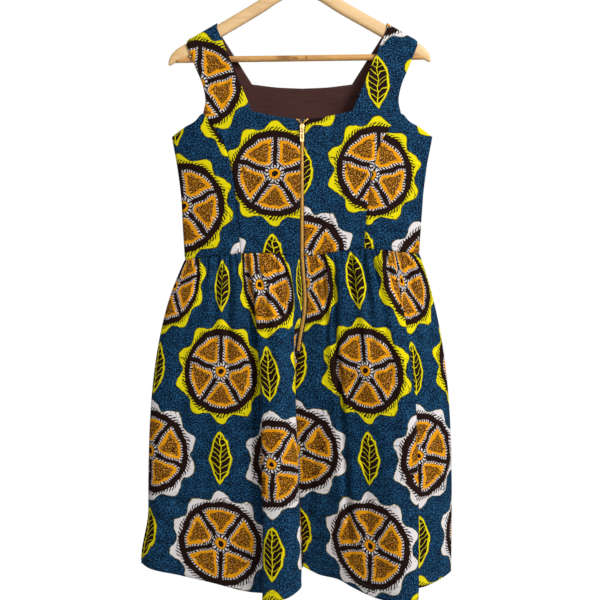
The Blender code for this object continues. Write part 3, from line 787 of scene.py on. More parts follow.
class Finish:
    """A material under construction: its nodes, and the colour laid down so far."""

    def __init__(self, name, colour, roughness, **fixed):
        self.material = bpy.data.materials.new(name)
        self.material.use_nodes = True
        self.material.diffuse_color = (*colour, 1.0)
        self.tree = self.material.node_tree
        self.shader = self.tree.nodes["Principled BSDF"]
        self.colour = (*colour, 1.0)
        for socket, value in {"Base_Color": self.colour, "Roughness": roughness, **fixed}.items():
            self.shader.inputs[socket.replace("_", " ")].default_value = value

    def node(self, kind, inputs=(), **settings):
        """A new node. inputs pairs its sockets' names with fixed values, links or fields."""
        made = tuned(self.tree.nodes.new("ShaderNode" + kind), **settings)
        for socket, value in dict(inputs).items():
            if isinstance(value, (Field, bpy.types.NodeSocket)):
                self.link(value, made.inputs[socket])
            else:
                made.inputs[socket].default_value = value
        return made

    def link(self, source, target):
        self.tree.links.new(source.socket if isinstance(source, Field) else source, target)

    def object_place(self, *scale):
        """Object coordinates, in metres or scaled."""
        return self.scaled(self.node("TexCoord").outputs["Object"], scale)

    def cut_place(self, *scale):
        """Place in the flat cloth, in metres or scaled."""
        return self.scaled(self.node("UVMap", uv_map="cut").outputs["UV"], scale)

    def scaled(self, start, scale):
        return self.node("Mapping", {"Vector": start, "Scale": scale or (1, 1, 1)}).outputs["Vector"]

    def axes(self, vector):
        return [Field(self.tree, output) for output in self.node("SeparateXYZ", {0: vector}).outputs]

    def vector(self, x, y):
        return self.node("CombineXYZ", {"X": x, "Y": y}).outputs[0]

    def noise(self, vector, scale=1.0, detail=2.0, rough=0.5):
        inputs = {"Vector": vector, "Scale": scale, "Detail": detail, "Roughness": rough}
        return Field(self.tree, self.node("TexNoise", inputs).outputs["Fac"])

    def cells(self, vector, scale=1.0, feature="F1"):
        made = self.node("TexVoronoi", {"Vector": vector, "Scale": scale}, feature=feature)
        return Field(self.tree, made.outputs["Distance"])

    def lay(self, share, colour):
        """Lays a colour over what is there, where share is 1."""
        inputs = {"Factor": share, "A": self.colour, "B": (*colour, 1.0)}
        self.colour = self.node("Mix", inputs, data_type="RGBA").outputs["Result"]

    def bump(self, height, distance, strength=1.0):
        made = self.node("Bump", {"Height": height, "Strength": strength, "Distance": distance})
        for below in self.shader.inputs["Normal"].links:
            self.link(below.from_socket, made.inputs["Normal"])
        self.link(made.outputs["Normal"], self.shader.inputs["Normal"])

    def done(self, roughness=None):
        self.link(self.colour, self.shader.inputs["Base Color"])
        if roughness is not None:
            self.link(roughness, self.shader.inputs["Roughness"])
        return self.material


def shade(colour, factor):
    return tuple(value * factor for value in colour)


def weave_height(finish, pitch):
    """Plain weave: threads over and under one another, on the cut map."""
    u, v, _ = finish.axes(finish.cut_place(2 * math.pi / pitch, 2 * math.pi / pitch, 1))
    return u.math("SINE") * v.math("SINE") + (u * 0.5).math("SINE") * 0.3


def ground_colours(finish, settings, mm):
    """Dark ground of the print, crowded with small bright curls and a few lighter flecks."""
    curls = finish.noise(mm, 0.42, 2.0, 0.75)
    blotch = finish.noise(mm, 0.05, 2.0, 0.5) - 0.5
    level = curls + blotch * 0.14
    finish.lay(level.ramp(0.45, 0.51), settings.ground_mid)
    finish.lay(level.ramp(0.55, 0.6), settings.ground_light)
    finish.lay(finish.noise(mm, 0.3, 1.0, 0.5).ramp(0.66, 0.74) * 0.7, shade(settings.ground_light, 1.5))


# a wheel's counts, and the radii of its parts at the size where it measures 88
SPOKES = 5
LOBES = 10
TEETH = 80
WHEEL = 88
HALO = (83.5, 6.5)
RIM_OUTER = 73.6
RIM_INNER = 67.0
PANE_TIP = 19.5
HEART_TIP = 27.0
HUB_RIM = 16.0
HUB_MARKS = (10.6, 15.0)
HUB_DISC = 9.5
HUB_EYE = 5.0
# distances inwards from the middle of a spoke and the rim's inner edge to the comb, the pane and its heart
COMB = 3.9
PANE = 7.4
HEART = 16.0
COMB_PITCH = 4.8
# a leaf's half length and half width, the width of its bright edge, and the distance between its veins
LEAF = (46, 20)
LEAF_EDGE = 3.4
VEIN_PITCH = 10


def wheel_pattern(finish, settings, u, v, mm):
    """Wheels in half-drop columns: lobed halo, combed rim and spokes, orange panes with speckled hearts."""
    column, repeat, size = (value / MM for value in (settings.column, settings.repeat, settings.wheel))
    soft = 0.5

    def lattice(across, up):
        x, y = u - across, v - up
        row = (y / repeat).nearest()
        return x - (x / (2 * column)).nearest() * (2 * column), y - row * repeat, row

    # of the two lattices, the one with the nearer wheel
    ax, ay, arow = lattice(0.0, 0.0)
    bx, by, brow = lattice(column, repeat / 2)
    second = (ax * ax + ay * ay - bx * bx - by * by).over(0.0, 1.0)
    x, y, row = second.choose(ax, bx), second.choose(ay, by), second.choose(arow, brow)
    pale = row.math("FLOORED_MODULO", 2.0).over(0.5, 0.1)

    # the radius, the turn round the wheel, and the distances inwards from the nearest spoke and from the rim
    r = (x * x + y * y).math("SQRT") / (size / WHEEL)
    turn = y.math("ARCTAN2", x) / (2 * math.pi) + pale * 0.1 + 0.05
    sector = ((turn * SPOKES + 0.5).fract() - 0.5) * (2 * math.pi / SPOKES)
    off_spoke = r * (abs(sector) * -1 + math.pi / SPOKES).math("SINE")
    off_rim = r * -1 + RIM_INNER
    inside = off_spoke.math("MINIMUM", off_rim)
    round_comb = (turn * TEETH).fract()
    spoke_comb = ((r + off_spoke * 0.5) / COMB_PITCH).fract()
    comb = off_spoke.math("LESS_THAN", off_rim).choose(round_comb, spoke_comb)
    teeth = abs(comb - 0.5).under(0.3, 0.1)

    edge = (turn * (2 * math.pi * LOBES)).math("COSINE") * HALO[1] + HALO[0]
    finish.lay((r - edge).under(1.4, 0.9), shade(settings.yellow, 0.12))
    halo = (r - edge).under(0.0, soft)
    finish.lay(halo, settings.yellow)
    finish.lay(halo * pale, settings.white)
    outer_teeth = (round_comb + r * 0.16).stripe(0.25, 0.12)
    finish.lay(outer_teeth * (r - edge * 0.3).under(53.0, 1.5), settings.brown)
    finish.lay(r.under(RIM_OUTER, soft), settings.brown)
    combed = inside.over(COMB, soft)
    finish.lay(combed, settings.white)
    finish.lay(combed * teeth, settings.brown)
    pane = inside.over(PANE, soft) * r.over(PANE_TIP, soft)
    finish.lay(pane, settings.orange)

    drift = finish.noise(mm, 0.16, 1.0) * 7
    heart = (inside + drift).over(HEART, soft) * (r + drift).over(HEART_TIP, soft)
    speckle = finish.noise(mm, 0.42, 2.0, 0.7)
    finish.lay(heart, shade(settings.orange, 0.62))
    finish.lay(heart * speckle.under(0.515, 0.04), settings.speckle)
    finish.lay(heart * speckle.over(0.66, 0.05) * 0.7, settings.white)
    dots = finish.cells(mm, 0.085).under(0.15, 0.05) * pane * (inside + drift).under(14.0, soft)
    finish.lay(dots * inside.over(9.0, soft), settings.white)

    finish.lay(r.under(HUB_RIM, soft), settings.brown)
    hub = (turn * (3 * SPOKES)).stripe(0.24, 0.1)
    finish.lay(hub * r.under(HUB_MARKS[1], soft) * r.over(HUB_MARKS[0], soft), settings.white)
    finish.lay(r.under(HUB_DISC, soft), settings.orange)
    finish.lay(r.under(HUB_EYE, soft), settings.brown)
    return halo


def leaf_pattern(finish, settings, u, v, wobble):
    """Almond leaves between the wheels, dark with a bright edge, midrib and veins."""
    column, repeat = settings.column / MM, settings.repeat / MM
    place = (u / column).nearest()
    odd = place.math("FLOORED_MODULO", 2.0)
    x = u - place * column
    y = ((v / repeat + odd * 0.5 + 1.0).fract() - 0.5) * repeat
    along = y / LEAF[0]
    half = (along * along * -1 + 1.0) * LEAF[1]
    side = abs(x)
    finish.lay((side - half).under(1.2, 0.8), shade(settings.yellow, 0.16))
    finish.lay((side - half).under(0.0, 0.45), settings.yellow)
    core = (side - half).under(-LEAF_EDGE, 0.45)
    finish.lay(core, settings.brown)
    veins = abs(((y * -1 + side * 0.75 + wobble * 2.0) / VEIN_PITCH).fract() - 0.5)
    finish.lay(core * veins.over(0.44, 0.03) * (side - half * 0.88 - 1.0).under(0.0, 0.8), settings.yellow)
    finish.lay(core * side.under(0.8, 0.4), settings.yellow)


def wax_print():
    settings, fabric = bpy.context.scene.dress_print, bpy.context.scene.dress_cloth
    finish = Finish("wax print cotton", settings.ground_dark, 0.7, Specular_IOR_Level=0.06, Sheen_Weight=0.01)
    mm = finish.cut_place(1000, 1000, 1000)
    u, v, _ = finish.axes(mm)
    wobble_u = finish.noise(mm, 0.055, 1.0) - 0.5
    moved = finish.vector(u + 91.0, v + 37.0)
    wobble_v = finish.noise(moved, 0.055, 1.0) - 0.5
    jitter = finish.noise(moved, 0.4, 1.0) - 0.5
    drawn_u, drawn_v = u + wobble_u * 9 + jitter * 1.6, v + wobble_v * 9 + jitter * 1.2
    ground_colours(finish, settings, mm)
    leaf_pattern(finish, settings, drawn_u, drawn_v, wobble_u * 4)
    motif = wheel_pattern(finish, settings, drawn_u, drawn_v, mm)
    warped = finish.vector(u + wobble_v * 40, v * 1.5 + wobble_u * 40)
    crackle = finish.cells(warped, 0.021, "DISTANCE_TO_EDGE").under(0.009, 0.006)
    finish.lay(crackle * motif * finish.noise(moved, 0.02, 1.0).over(0.5, 0.05), settings.brown)
    finish.lay(finish.noise(mm, 0.012, 3.0).ramp(0.4, 0.75) * 0.12, linear(12, 14, 24))
    finish.bump(weave_height(finish, fabric.weave), 0.00008, 0.6)
    finish.bump(finish.noise(mm, 0.12, 3.0, 0.6), 0.0006, 0.35)
    finish.done(finish.noise(mm, 0.09, 2.0) * 0.16 + 0.62)


def lining_cotton():
    settings, fabric = bpy.context.scene.dress_lining, bpy.context.scene.dress_cloth
    finish = Finish("lining cotton", settings.colour, 0.85, Specular_IOR_Level=0.2, Sheen_Weight=0.2)
    slubs = finish.noise(finish.cut_place(26, 520, 1), 1.0, 3.0)
    finish.lay(slubs.ramp(0.42, 0.7) * 0.75, shade(settings.colour, 0.5))
    cloudy = finish.noise(finish.cut_place(9, 14, 1), 1.0, 2.0)
    finish.lay(cloudy.ramp(0.4, 0.8) * 0.35, shade(settings.colour, 1.35))
    finish.bump(weave_height(finish, fabric.weave * 0.8), 0.00006, 0.6)
    finish.bump(slubs, 0.0002, 0.5)
    finish.done()


def tape_cloth():
    settings = bpy.context.scene.dress_zip
    finish = Finish("zip tape twill", settings.tape, 0.85, Sheen_Weight=0.15)
    u, v, _ = finish.axes(finish.cut_place(2 * math.pi / TWILL, 2 * math.pi / TWILL, 1))
    twill = (u + v * 2.0).math("SINE")
    finish.lay(twill.ramp(-0.4, 1.0) * 0.5, shade(settings.tape, 1.9))
    finish.bump(twill, 0.0001, 0.7)
    finish.done()


def zip_metal(name, colour):
    finish = Finish(name, colour, 0.36, Metallic=1.0)
    place = finish.object_place()
    worn = finish.noise(place, 420, 3.0, 0.6)
    finish.lay(worn.ramp(0.42, 0.75) * 0.6, shade(colour, 0.55))
    finish.lay(finish.noise(place, 1500, 2.0).ramp(0.55, 0.8) * 0.5, shade(colour, 1.2))
    finish.bump(worn, 0.00005, 0.4)
    finish.done(worn * 0.25 + 0.26)


def thread():
    settings = bpy.context.scene.dress_sewing
    finish = Finish("sewing thread", settings.colour, 0.6, Sheen_Weight=0.3)
    ply = finish.noise(finish.object_place(), 1800, 2.0)
    finish.lay(ply.ramp(0.4, 0.7) * 0.6, shade(settings.colour, 1.7))
    finish.bump(ply, 0.00005, 0.5)
    finish.done()


def wood(name, colour, streak, stretch, knots):
    """Wood with its grain along x. knots are (x, z, half length, half height, darkness) of dark streaks."""
    settings = bpy.context.scene.dress_hanger
    finish = Finish(name, colour, 0.45, Specular_IOR_Level=0.4, Coat_Weight=0.15, Coat_Roughness=0.3)
    place = finish.object_place()
    x, _, z = finish.axes(place)
    grain = finish.noise(finish.object_place(*stretch), 1.0, 4.0, 0.6)
    fine = finish.noise(finish.object_place(*shade(stretch, 4)), 1.0, 3.0, 0.6)
    tone = finish.noise(place, 11, 2.0)
    finish.lay(tone.ramp(0.4, 0.75) * 0.35, shade(colour, 0.8))
    finish.lay(grain.ramp(0.5, 0.72) * streak, settings.knots)
    finish.lay(fine.ramp(0.55, 0.75) * streak * 0.7, shade(colour, 0.62))
    for at_x, at_z, long, high, dark in knots:
        dx, dz = (x - at_x) / long, (z - at_z) / high
        spot = (dx * dx + dz * dz + (grain - 0.5) * 3.0).under(0.7, 0.9)
        finish.lay(spot * dark, settings.knots)
    finish.bump(fine, 0.00015, 0.4)
    finish.done(grain * 0.2 + 0.36)


def hook_steel():
    settings = bpy.context.scene.dress_hanger
    finish = Finish("hook steel", settings.steel, 0.4, Metallic=1.0)
    scuffs = finish.noise(finish.object_place(), 600, 3.0)
    finish.lay(scuffs.ramp(0.5, 0.8) * 0.4, shade(settings.steel, 0.7))
    finish.done(scuffs * 0.2 + 0.32)


# Repeats made by Geometry Nodes, and small solid forms

REPEAT = "repeat along a line"


def repeat_tree():
    """Copies of a small shape at an even pitch along each line, turned with it, with a little unevenness."""
    tree = bpy.data.node_groups.new(REPEAT, "GeometryNodeTree")
    for way, label, kind, default in (
        ("OUTPUT", "Geometry", "Geometry", None),
        ("INPUT", "Geometry", "Geometry", None),
        ("INPUT", "Shape", "Object", None),
        ("INPUT", "Pitch", "Float", 0.003),
        ("INPUT", "Unevenness", "Float", 0.05),
        ("INPUT", "Seed", "Int", 1),
        ("INPUT", "Material", "Material", None),
    ):
        socket = tree.interface.new_socket(label, in_out=way, socket_type="NodeSocket" + kind)
        if default is not None:
            socket.default_value = default
    start, end, curve, spaced, tangent, turn, shape, copies, low, high, size, whole, finish = (
        tree.nodes.new(kind) for kind in (
            "NodeGroupInput", "NodeGroupOutput", "GeometryNodeMeshToCurve", "GeometryNodeResampleCurve",
            "GeometryNodeInputTangent", "FunctionNodeAxesToRotation", "GeometryNodeObjectInfo",
            "GeometryNodeInstanceOnPoints", "ShaderNodeMath", "ShaderNodeMath", "FunctionNodeRandomValue",
            "GeometryNodeRealizeInstances", "GeometryNodeSetMaterial",
        )
    )
    tuned(spaced, mode="LENGTH")
    tuned(turn, primary_axis="Z", secondary_axis="Y")
    turn.inputs["Secondary Axis"].default_value = (0, 1, 0)
    size.data_type = "FLOAT"
    for node, operation in ((low, "SUBTRACT"), (high, "ADD")):
        node.operation = operation
        node.inputs[0].default_value = 1.0
    for source, output, target, socket in (
        (start, "Geometry", curve, "Mesh"), (curve, "Curve", spaced, "Curve"),
        (start, "Pitch", spaced, "Length"), (spaced, "Curve", copies, "Points"),
        (start, "Shape", shape, "Object"), (shape, "Geometry", copies, "Instance"),
        (tangent, "Tangent", turn, "Primary Axis"), (turn, "Rotation", copies, "Rotation"),
        (start, "Unevenness", low, 1), (start, "Unevenness", high, 1),
        (low, 0, size, 2), (high, 0, size, 3), (start, "Seed", size, "Seed"), (size, 1, copies, "Scale"),
        (copies, "Instances", whole, "Geometry"), (whole, "Geometry", finish, "Geometry"),
        (start, "Material", finish, "Material"), (finish, "Geometry", end, "Geometry"),
    ):
        tree.links.new(source.outputs[output], target.inputs[socket])
    return tree


def plain_mesh(helper, name):
    """The mesh of a helper object with its modifiers or its curve worked out. The helper goes."""
    bpy.context.view_layer.update()
    mesh = bpy.data.meshes.new_from_object(helper.evaluated_get(bpy.context.evaluated_depsgraph_get()))
    bpy.data.objects.remove(helper)
    mesh.name = name
    return mesh


def repeated(name, lines, shape, pitch, material, unevenness, seed):
    """One plain mesh of the shape repeated along lines of points in millimetres."""
    tree = bpy.data.node_groups.get(REPEAT) or repeat_tree()
    mesh = bpy.data.meshes.new(name + "_line")
    points, edges = [], []
    for line in lines:
        first = len(points)
        points.extend(Vector(point) * MM for point in line)
        edges.extend((i, i + 1) for i in range(first, len(points) - 1))
    mesh.from_pydata(points, edges, [])
    carrier = placed(name + "_line", mesh)
    modifier = tuned(carrier.modifiers.new("repeat", "NODES"), node_group=tree)
    finish = bpy.data.materials[material]
    values = {"Shape": shape, "Pitch": pitch, "Unevenness": unevenness, "Seed": seed, "Material": finish}
    for item in tree.interface.items_tree:
        if item.in_out == "INPUT" and item.name in values:
            modifier[item.identifier] = values[item.name]
    made = plain_mesh(carrier, name)
    if not made.polygons:
        raise RuntimeError(f"{name} came out with no faces")
    for polygon in made.polygons:
        polygon.material_index = 0
    return placed(name, made, material)


def solid_mesh(name, bm):
    """The smooth mesh, in metres, of a closed form in millimetres."""
    bmesh.ops.remove_doubles(bm, verts=bm.verts, dist=0.0005)
    bmesh.ops.scale(bm, vec=(MM, MM, MM), verts=bm.verts)
    bmesh.ops.recalc_face_normals(bm, faces=bm.faces)
    return mesh_of(name, bm)


def small_shape(name, bm):
    """A hidden helper object, which is only repeated."""
    return bpy.data.objects.new(name, solid_mesh(name, bm))


def ringed(rings):
    """A closed form through rings of points. A first and last ring of one point each are its poles."""
    bm = bmesh.new()
    made = [[bm.verts.new(point) for point in ring] for ring in rings]
    for ring, following in zip(made, made[1:]):
        for i in range(max(len(ring), len(following))):
            near = [ring[k % len(ring)] for k in (i, i + 1)]
            far = [following[k % len(following)] for k in (i + 1, i)]
            bm.faces.new(list(dict.fromkeys(near + far)))
    for end in (made[0][::-1], made[-1]):
        if len(end) > 1:
            bm.faces.new(end)
    return bm


def stitch_shape(length, thickness):
    """A short rounded length of thread, upright."""
    rings = [[(0, 0, -length / 2)]]
    for rise in np.radians((-45, 0, 45)):
        radius, z = thickness / 2 * math.cos(rise), length / 2 * math.sin(rise)
        rings.append([(radius * math.sin(a), radius * math.cos(a), z) for a in np.radians(range(0, 360, 60))])
    return small_shape("stitch", ringed([*rings, [(0, 0, length / 2)]]))


def tube(line, radius, sides=12):
    """A round tube along a line of points, with domed ends."""
    line = np.array(line, float)
    forward = np.gradient(line, axis=0)
    forward /= np.linalg.norm(forward, axis=1, keepdims=True)
    across = np.array([0.0, 1.0, 0.0]) if abs(forward[0][1]) < 0.9 else np.array([1.0, 0.0, 0.0])
    dome = (0.25, 0.65, 0.9)
    first, last = forward[0], forward[-1]
    stations = [(line[0] - first * radius * (1 - share) * 0.7, first, share) for share in dome]
    stations += [(point, way, 1.0) for point, way in zip(line, forward)]
    stations += [(line[-1] + last * radius * (1 - share) * 0.7, last, share) for share in dome[::-1]]
    rings = []
    for point, way, share in stations:
        across = across - way * across.dot(way)
        across /= np.linalg.norm(across)
        other = np.cross(way, across)
        angles = np.linspace(0, 2 * math.pi, sides, endpoint=False)
        rings.append([point + radius * share * (across * math.cos(a) + other * math.sin(a)) for a in angles])
    return ringed(rings)


# Zip


def zip_y(drop):
    """Depth of the front's cloth along the zip."""
    foot = FRONT_LEFT_FOLDS[-1]
    v = np.clip((drop - SKIRT_TOP) / (foot[3] - SKIRT_TOP), 0, 1)
    return np.where(drop < SKIRT_TOP, -depth(0.0, drop), skirt_y(0.0, foot[1], v, -1))


def zip_end():
    return SKIRT_TOP + (FRONT_LEFT_FOLDS[-1][3] - SKIRT_TOP) * ZIP_SHARE


def zip_path(top, end, offset=0.0, behind=0.0, step=2.0):
    drops = np.linspace(top, end, max(2, int((end - top) / step)))
    return np.stack([zip_x(drops) + offset, zip_y(drops) + behind, SHOULDER_Z - drops], axis=1)


def tooth_shape(side, width, pitch):
    """A tooth that reaches across the chain from one tape: a narrow neck and a fuller head."""
    half = pitch / 2 * 0.86
    outline = (
        (-0.55, half * 0.8), (0.3, half), (width * 0.62, half * 0.82), (width * 0.8, half * 0.98),
        (width, half * 0.55),
    )
    points = [*outline, *((x, -z) for x, z in outline[::-1])]
    middle = width * 0.45
    # the depth of each section of a tooth, and its share of the full height
    return small_shape(f"tooth_{side}", ringed([
        [(side * (middle + (x - middle) * (0.5 + grow / 2) - width * 0.62), y, z * grow) for x, z in points]
        for y, grow in ((-1.2, 0.66), (-0.95, 0.94), (0.6, 1.0), (1.1, 0.8))
    ]))


def bevelled_plate(name, loops, thickness, centre, bevel):
    """A flat piece facing the front from closed outlines of (x, z), with its rims softened."""
    curve = tuned(
        bpy.data.curves.new(name, "CURVE"), dimensions="2D", fill_mode="BOTH", bevel_resolution=2,
        extrude=(thickness / 2 - bevel) * MM, bevel_depth=bevel * MM, offset=-bevel * MM,
    )
    for loop in loops:
        spline = tuned(curve.splines.new("POLY"), use_cyclic_u=True)
        spline.points.add(len(loop) - 1)
        for point, (x, z) in zip(spline.points, loop):
            point.co = (x * MM, z * MM, 0, 1)
    mesh = plain_mesh(placed(name + "_outline", curve), name)
    mesh.transform(Matrix.Translation(Vector(centre) * MM) @ Matrix.Rotation(math.pi / 2, 4, "X"))
    bm = bmesh.new()
    bm.from_mesh(mesh)
    bmesh.ops.remove_doubles(bm, verts=bm.verts, dist=0.000005)
    bmesh.ops.recalc_face_normals(bm, faces=bm.faces)
    return placed(name, mesh_of(name, bm, False), "pale brass")


def rounded(width, height, radius, middle):
    """A rectangle's outline with round corners, its centre raised to middle."""
    points = []
    for x, z, start in ((1, 1, 0), (-1, 1, 90), (-1, -1, 180), (1, -1, 270)):
        for angle in np.radians(np.linspace(start, start + 90, 7)):
            points.append((
                x * (width / 2 - radius) + radius * math.cos(angle),
                middle + z * (height / 2 - radius) + radius * math.sin(angle),
            ))
    return points


def slider_face(drop):
    return float(zip_y(drop + SLIDER[1] / 2)) - CHAIN_PROUD - GAP - SLIDER[2]


def joined(name, parts, material):
    """The meshes of several objects as one object. The parts go."""
    bm = bmesh.new()
    for part in parts:
        bm.from_mesh(part.data)
        bpy.data.objects.remove(part)
    for face in bm.faces:
        face.material_index = 0
    return placed(name, mesh_of(name, bm, False), material)


# Hanger


def on_hanger(flat):
    """(x, drop) of points on the hanger, moved to where it lies in the dress."""
    x = flat[..., 0] + HANGER_SHIFT
    return np.stack([x, flat[..., 1] - HANGER_TILT * x], axis=-1)


def arm_rings(sides=40, steps=97):
    thickness, height = ARM
    half = smooth(ARM_LINE, steps)
    line = np.vstack([half[::-1] * [-1, 1, 1], half[1:]])
    line[:, :2] = on_hanger(line[:, :2])
    forward = np.gradient(line[:, :2], axis=0)
    rings = []
    for (x, drop, share), (run, fall) in zip(line, forward):
        up = np.array([fall, run]) / math.hypot(run, fall)
        ring = []
        for angle in np.linspace(0, 2 * math.pi, sides, endpoint=False):
            across, along = math.cos(angle), math.sin(angle)
            size = (abs(across) ** ARM_SQUARE + abs(along) ** ARM_SQUARE) ** (-1 / ARM_SQUARE)
            lift = size * along * height / 2 * share
            deep = size * across * thickness / 2 * share**TIP_FULLNESS
            ring.append((x + up[0] * lift, deep, SHOULDER_Z - drop + up[1] * lift))
        rings.append(ring)
    return rings


def hook_line():
    radius = HOOK_RADIUS + HOOK_WIRE / 2
    x, drop = on_hanger(np.array(ARM_LINE[0][:2]))
    foot = SHOULDER_Z - drop + ARM[1] / 2 + GAP
    shank = [(x, foot), (x, foot + 8), (x + 0.5, foot + 16), (5, foot + 21.5)]
    angles = np.radians(range(-30, 205, 13))
    turn = [(radius * math.cos(angle), radius * math.sin(angle) - HOOK_RADIUS) for angle in angles]
    return [(x, 0, z) for x, z in smooth(shank + turn, 110)]


# Operators


def settle(piece, slot, *nodes, body=BODY):
    """Ties a piece to its body and hides the solids it stands for. slot, the piece's finish, is not used."""
    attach(piece, body)
    if nodes:
        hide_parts(*nodes)


def sewn(name, patches, thickness, materials, slot, node, **sheet):
    """A panel of cloth in place of a solid. sheet, what it was cut to and how it is held, is not used."""
    panel = cloth(name, patches, thickness, *materials)
    settle(panel, slot, node)


# cut position of each panel in the flat cloth: angle, across and up
CUTS = {
    "centre_left": (1.5, (40, 270)),
    "centre_right": (-1.0, (-128, 263)),
    "side_left": (-6.0, (240, 300)),
    "side_right": (4.0, (-136, 262)),
    "back": (0.0, (0, 270)),
    "skirt_left": (0.0, (66, 201)),
    "skirt_right": (0.0, (40, 197)),
    "skirt_back": (0.0, (20, 205)),
}
# folds, side, columns and rows of each skirt panel's grid, and the side that its zip lies on
SKIRT = {
    "left": (FRONT_LEFT_FOLDS, -1, 223, 150, -1),
    "right": (FRONT_RIGHT_FOLDS, -1, 223, 150, 1),
    "back": (BACK_FOLDS, 1, 326, 120, 0),
}
LINED = ("wax print cotton", "lining cotton")


class DRESS_OT_finishes(bpy.types.Operator):
    """Makes the materials of the cloth, zip, thread and hanger"""

    bl_idname = "dress.finishes"
    bl_label = "Finishes"

    def execute(self, context):
        wax_print()
        lining_cotton()
        tape_cloth()
        zip_metal("zip brass", context.scene.dress_zip.metal)
        zip_metal("pale brass", context.scene.dress_zip.pull)
        thread()
        hanger = context.scene.dress_hanger
        wood("arm wood", hanger.arms, 0.3, (9, 90, 60), ())
        knots = (
            (-0.030, -0.2105, 0.020, 0.005, 0.9), (-0.012, -0.2112, 0.008, 0.003, 0.9),
            (0.0075, -0.2102, 0.0035, 0.003, 1.0), (-0.145, -0.213, 0.05, 0.004, 0.6),
            (0.150, -0.209, 0.030, 0.003, 0.5),
        )
        wood("bar wood", hanger.bar, 0.5, (14, 160, 160), knots)
        hook_steel()
        return {"FINISHED"}


class DRESS_OT_bodice(bpy.types.Operator):
    """Builds the bodice's five panels and the back's lining"""

    bl_idname = "dress.bodice"
    bl_label = "Bodice"

    def execute(self, context):
        fabric = context.scene.dress_cloth
        hung = {"held": "hung", "rests_on": ["arm_wood"]}
        fronts = (
            ("centre", centre_front(), (0.205, 0.45), 0.0400),
            ("side", side_front(), (0.12, 0.25), 0.0214),
        )
        for name, mirror in (("left", -1), ("right", 1)):
            for part, grid, size, area in fronts:
                patch = bodice_patch(grid, -1, mirror, *CUTS[f"{part}_{name}"], inner_sewn=part == "side")
                sewn(
                    f"{part}_front_cloth_{name}", [facing(*patch, -1)], fabric.thickness, LINED, "wax_print",
                    f"bodice_front_{part}_{name}", flat=size, area=area, **hung,
                )
        halves = [bodice_patch(back_half(), 1, mirror, *CUTS["back"]) for mirror in (-1, 1)]
        outside = [facing(*half, 1) for half in halves]
        size = {"flat": (0.48, 0.45), "area": 0.136}
        sewn("back_cloth", outside, fabric.thickness, LINED, "wax_print", "bodice_back", **size, **hung)
        inside = []
        for points, cut in halves:
            way = outward(points, -1)
            way[np.abs(points[..., 0]) < 0.02, 0] = 0
            inside.append(facing(trimmed_lining(points) + way * LINING_INSET, cut, -1))
        size = {"flat": (0.47, 0.45), "area": 0.131}
        held = {"held": "hung", "rests_on": ["back_cloth"]}
        lining = fabric.lining_thickness
        sewn("back_lining_cloth", inside, lining, LINED[1:], "lining", "lining_back", **size, **held)
        return {"FINISHED"}


def trimmed_lining(points):
    """The back's points with the free edges drawn back a little."""
    def drawn(line, beyond):
        way = beyond - line
        return line + way * np.minimum(LINING_MARGIN / np.linalg.norm(way, axis=-1, keepdims=True), 3.0)

    grid = points.copy()
    neck = int(np.argmax(np.abs(points[:, 0, 0]) < 0.02))
    grid[:, -1] = drawn(points[:, -1], points[:, -2])
    grid[:neck, 0] = drawn(points[:neck, 0], points[:neck, 1])
    grid[-1] = drawn(points[-1], points[-2])
    return grid


class DRESS_OT_skirt(bpy.types.Operator):
    """Builds the gathered skirt's two fronts and its back"""

    bl_idname = "dress.skirt"
    bl_label = "Skirt"

    def execute(self, context):
        fabric = context.scene.dress_cloth
        for name, width, area in (("left", 0.346, 0.199), ("right", 0.311, 0.179), ("back", 0.61, 0.338)):
            points, cut = skirt_points(*SKIRT[name])
            patch = facing(points, turned(cut, *CUTS[f"skirt_{name}"]), SKIRT[name][1])
            node = "skirt_back" if name == "back" else f"skirt_front_{name}"
            sewn(
                f"skirt_cloth_{name}", [patch], fabric.thickness, LINED[:1], "wax_print", node,
                flat=(width, 0.576), held="gathered", rests_on=["back_cloth"], area=area,
            )
        return {"FINISHED"}


class DRESS_OT_zip(bpy.types.Operator):
    """Builds the zip: tapes, teeth, slider and pull tab"""

    bl_idname = "dress.zip"
    bl_label = "Zip"

    def execute(self, context):
        settings = context.scene.dress_zip
        end = zip_end()
        behind = CLOTH / 2 + GAP + TAPE / 2
        foot = end + TAPE_BEYOND
        for name, offsets in (("left", (-TAPE_WIDTH, -GAP)), ("right", (GAP, TAPE_WIDTH))):
            strips = [zip_path(FRONT_NECK_DROP, foot, offset, behind) for offset in np.linspace(*offsets, 6)]
            points = np.stack(strips, axis=1)
            patch = facing(points, points[..., ::2] * MM, -1)
            sewn(
                f"tape_cloth_{name}", [patch], TAPE * MM, ["zip tape twill"], "zip_tape", f"zip_tape_{name}",
                flat=(0.0137, (foot - FRONT_NECK_DROP) * MM), held="stretched",
                rests_on=[f"centre_front_cloth_{name}"],
            )
        rows = []
        pitch, width = settings.pitch / MM, settings.tooth_width / MM
        start, height, spread, narrow = FORK
        for side in (1, -1):
            top = CHAIN_TOP + (pitch / 2 if side < 0 else 0)
            # above the slider the two rows part
            fork = []
            for share in np.linspace(0, 1, 12):
                drop = FRONT_NECK_DROP + start + height * share
                x = spread * (1 - share) ** 1.6 + narrow
                fork.append((-side * x, float(zip_y(drop)) - TOOTH_PROUD, SHOULDER_Z - drop))
            chain = zip_path(top, end, 0.0, -TOOTH_PROUD)
            for label, line, size in (("chain", chain, 1.0), ("fork", fork, 0.74)):
                shape, name = tooth_shape(side, width * size, pitch), f"teeth_{label}_{side}"
                rows.append(repeated(name, [line], shape, settings.pitch, "zip brass", 0.02, 5))
        settle(joined("zip_teeth", rows, "zip brass"), "zip_metal", "zip_chain")
        settle(slider_piece(), "zip_metal", "zip_slider")
        settle(tab_piece(), "zip_metal", "zip_pull", body=TAB_BODY)
        return {"FINISHED"}


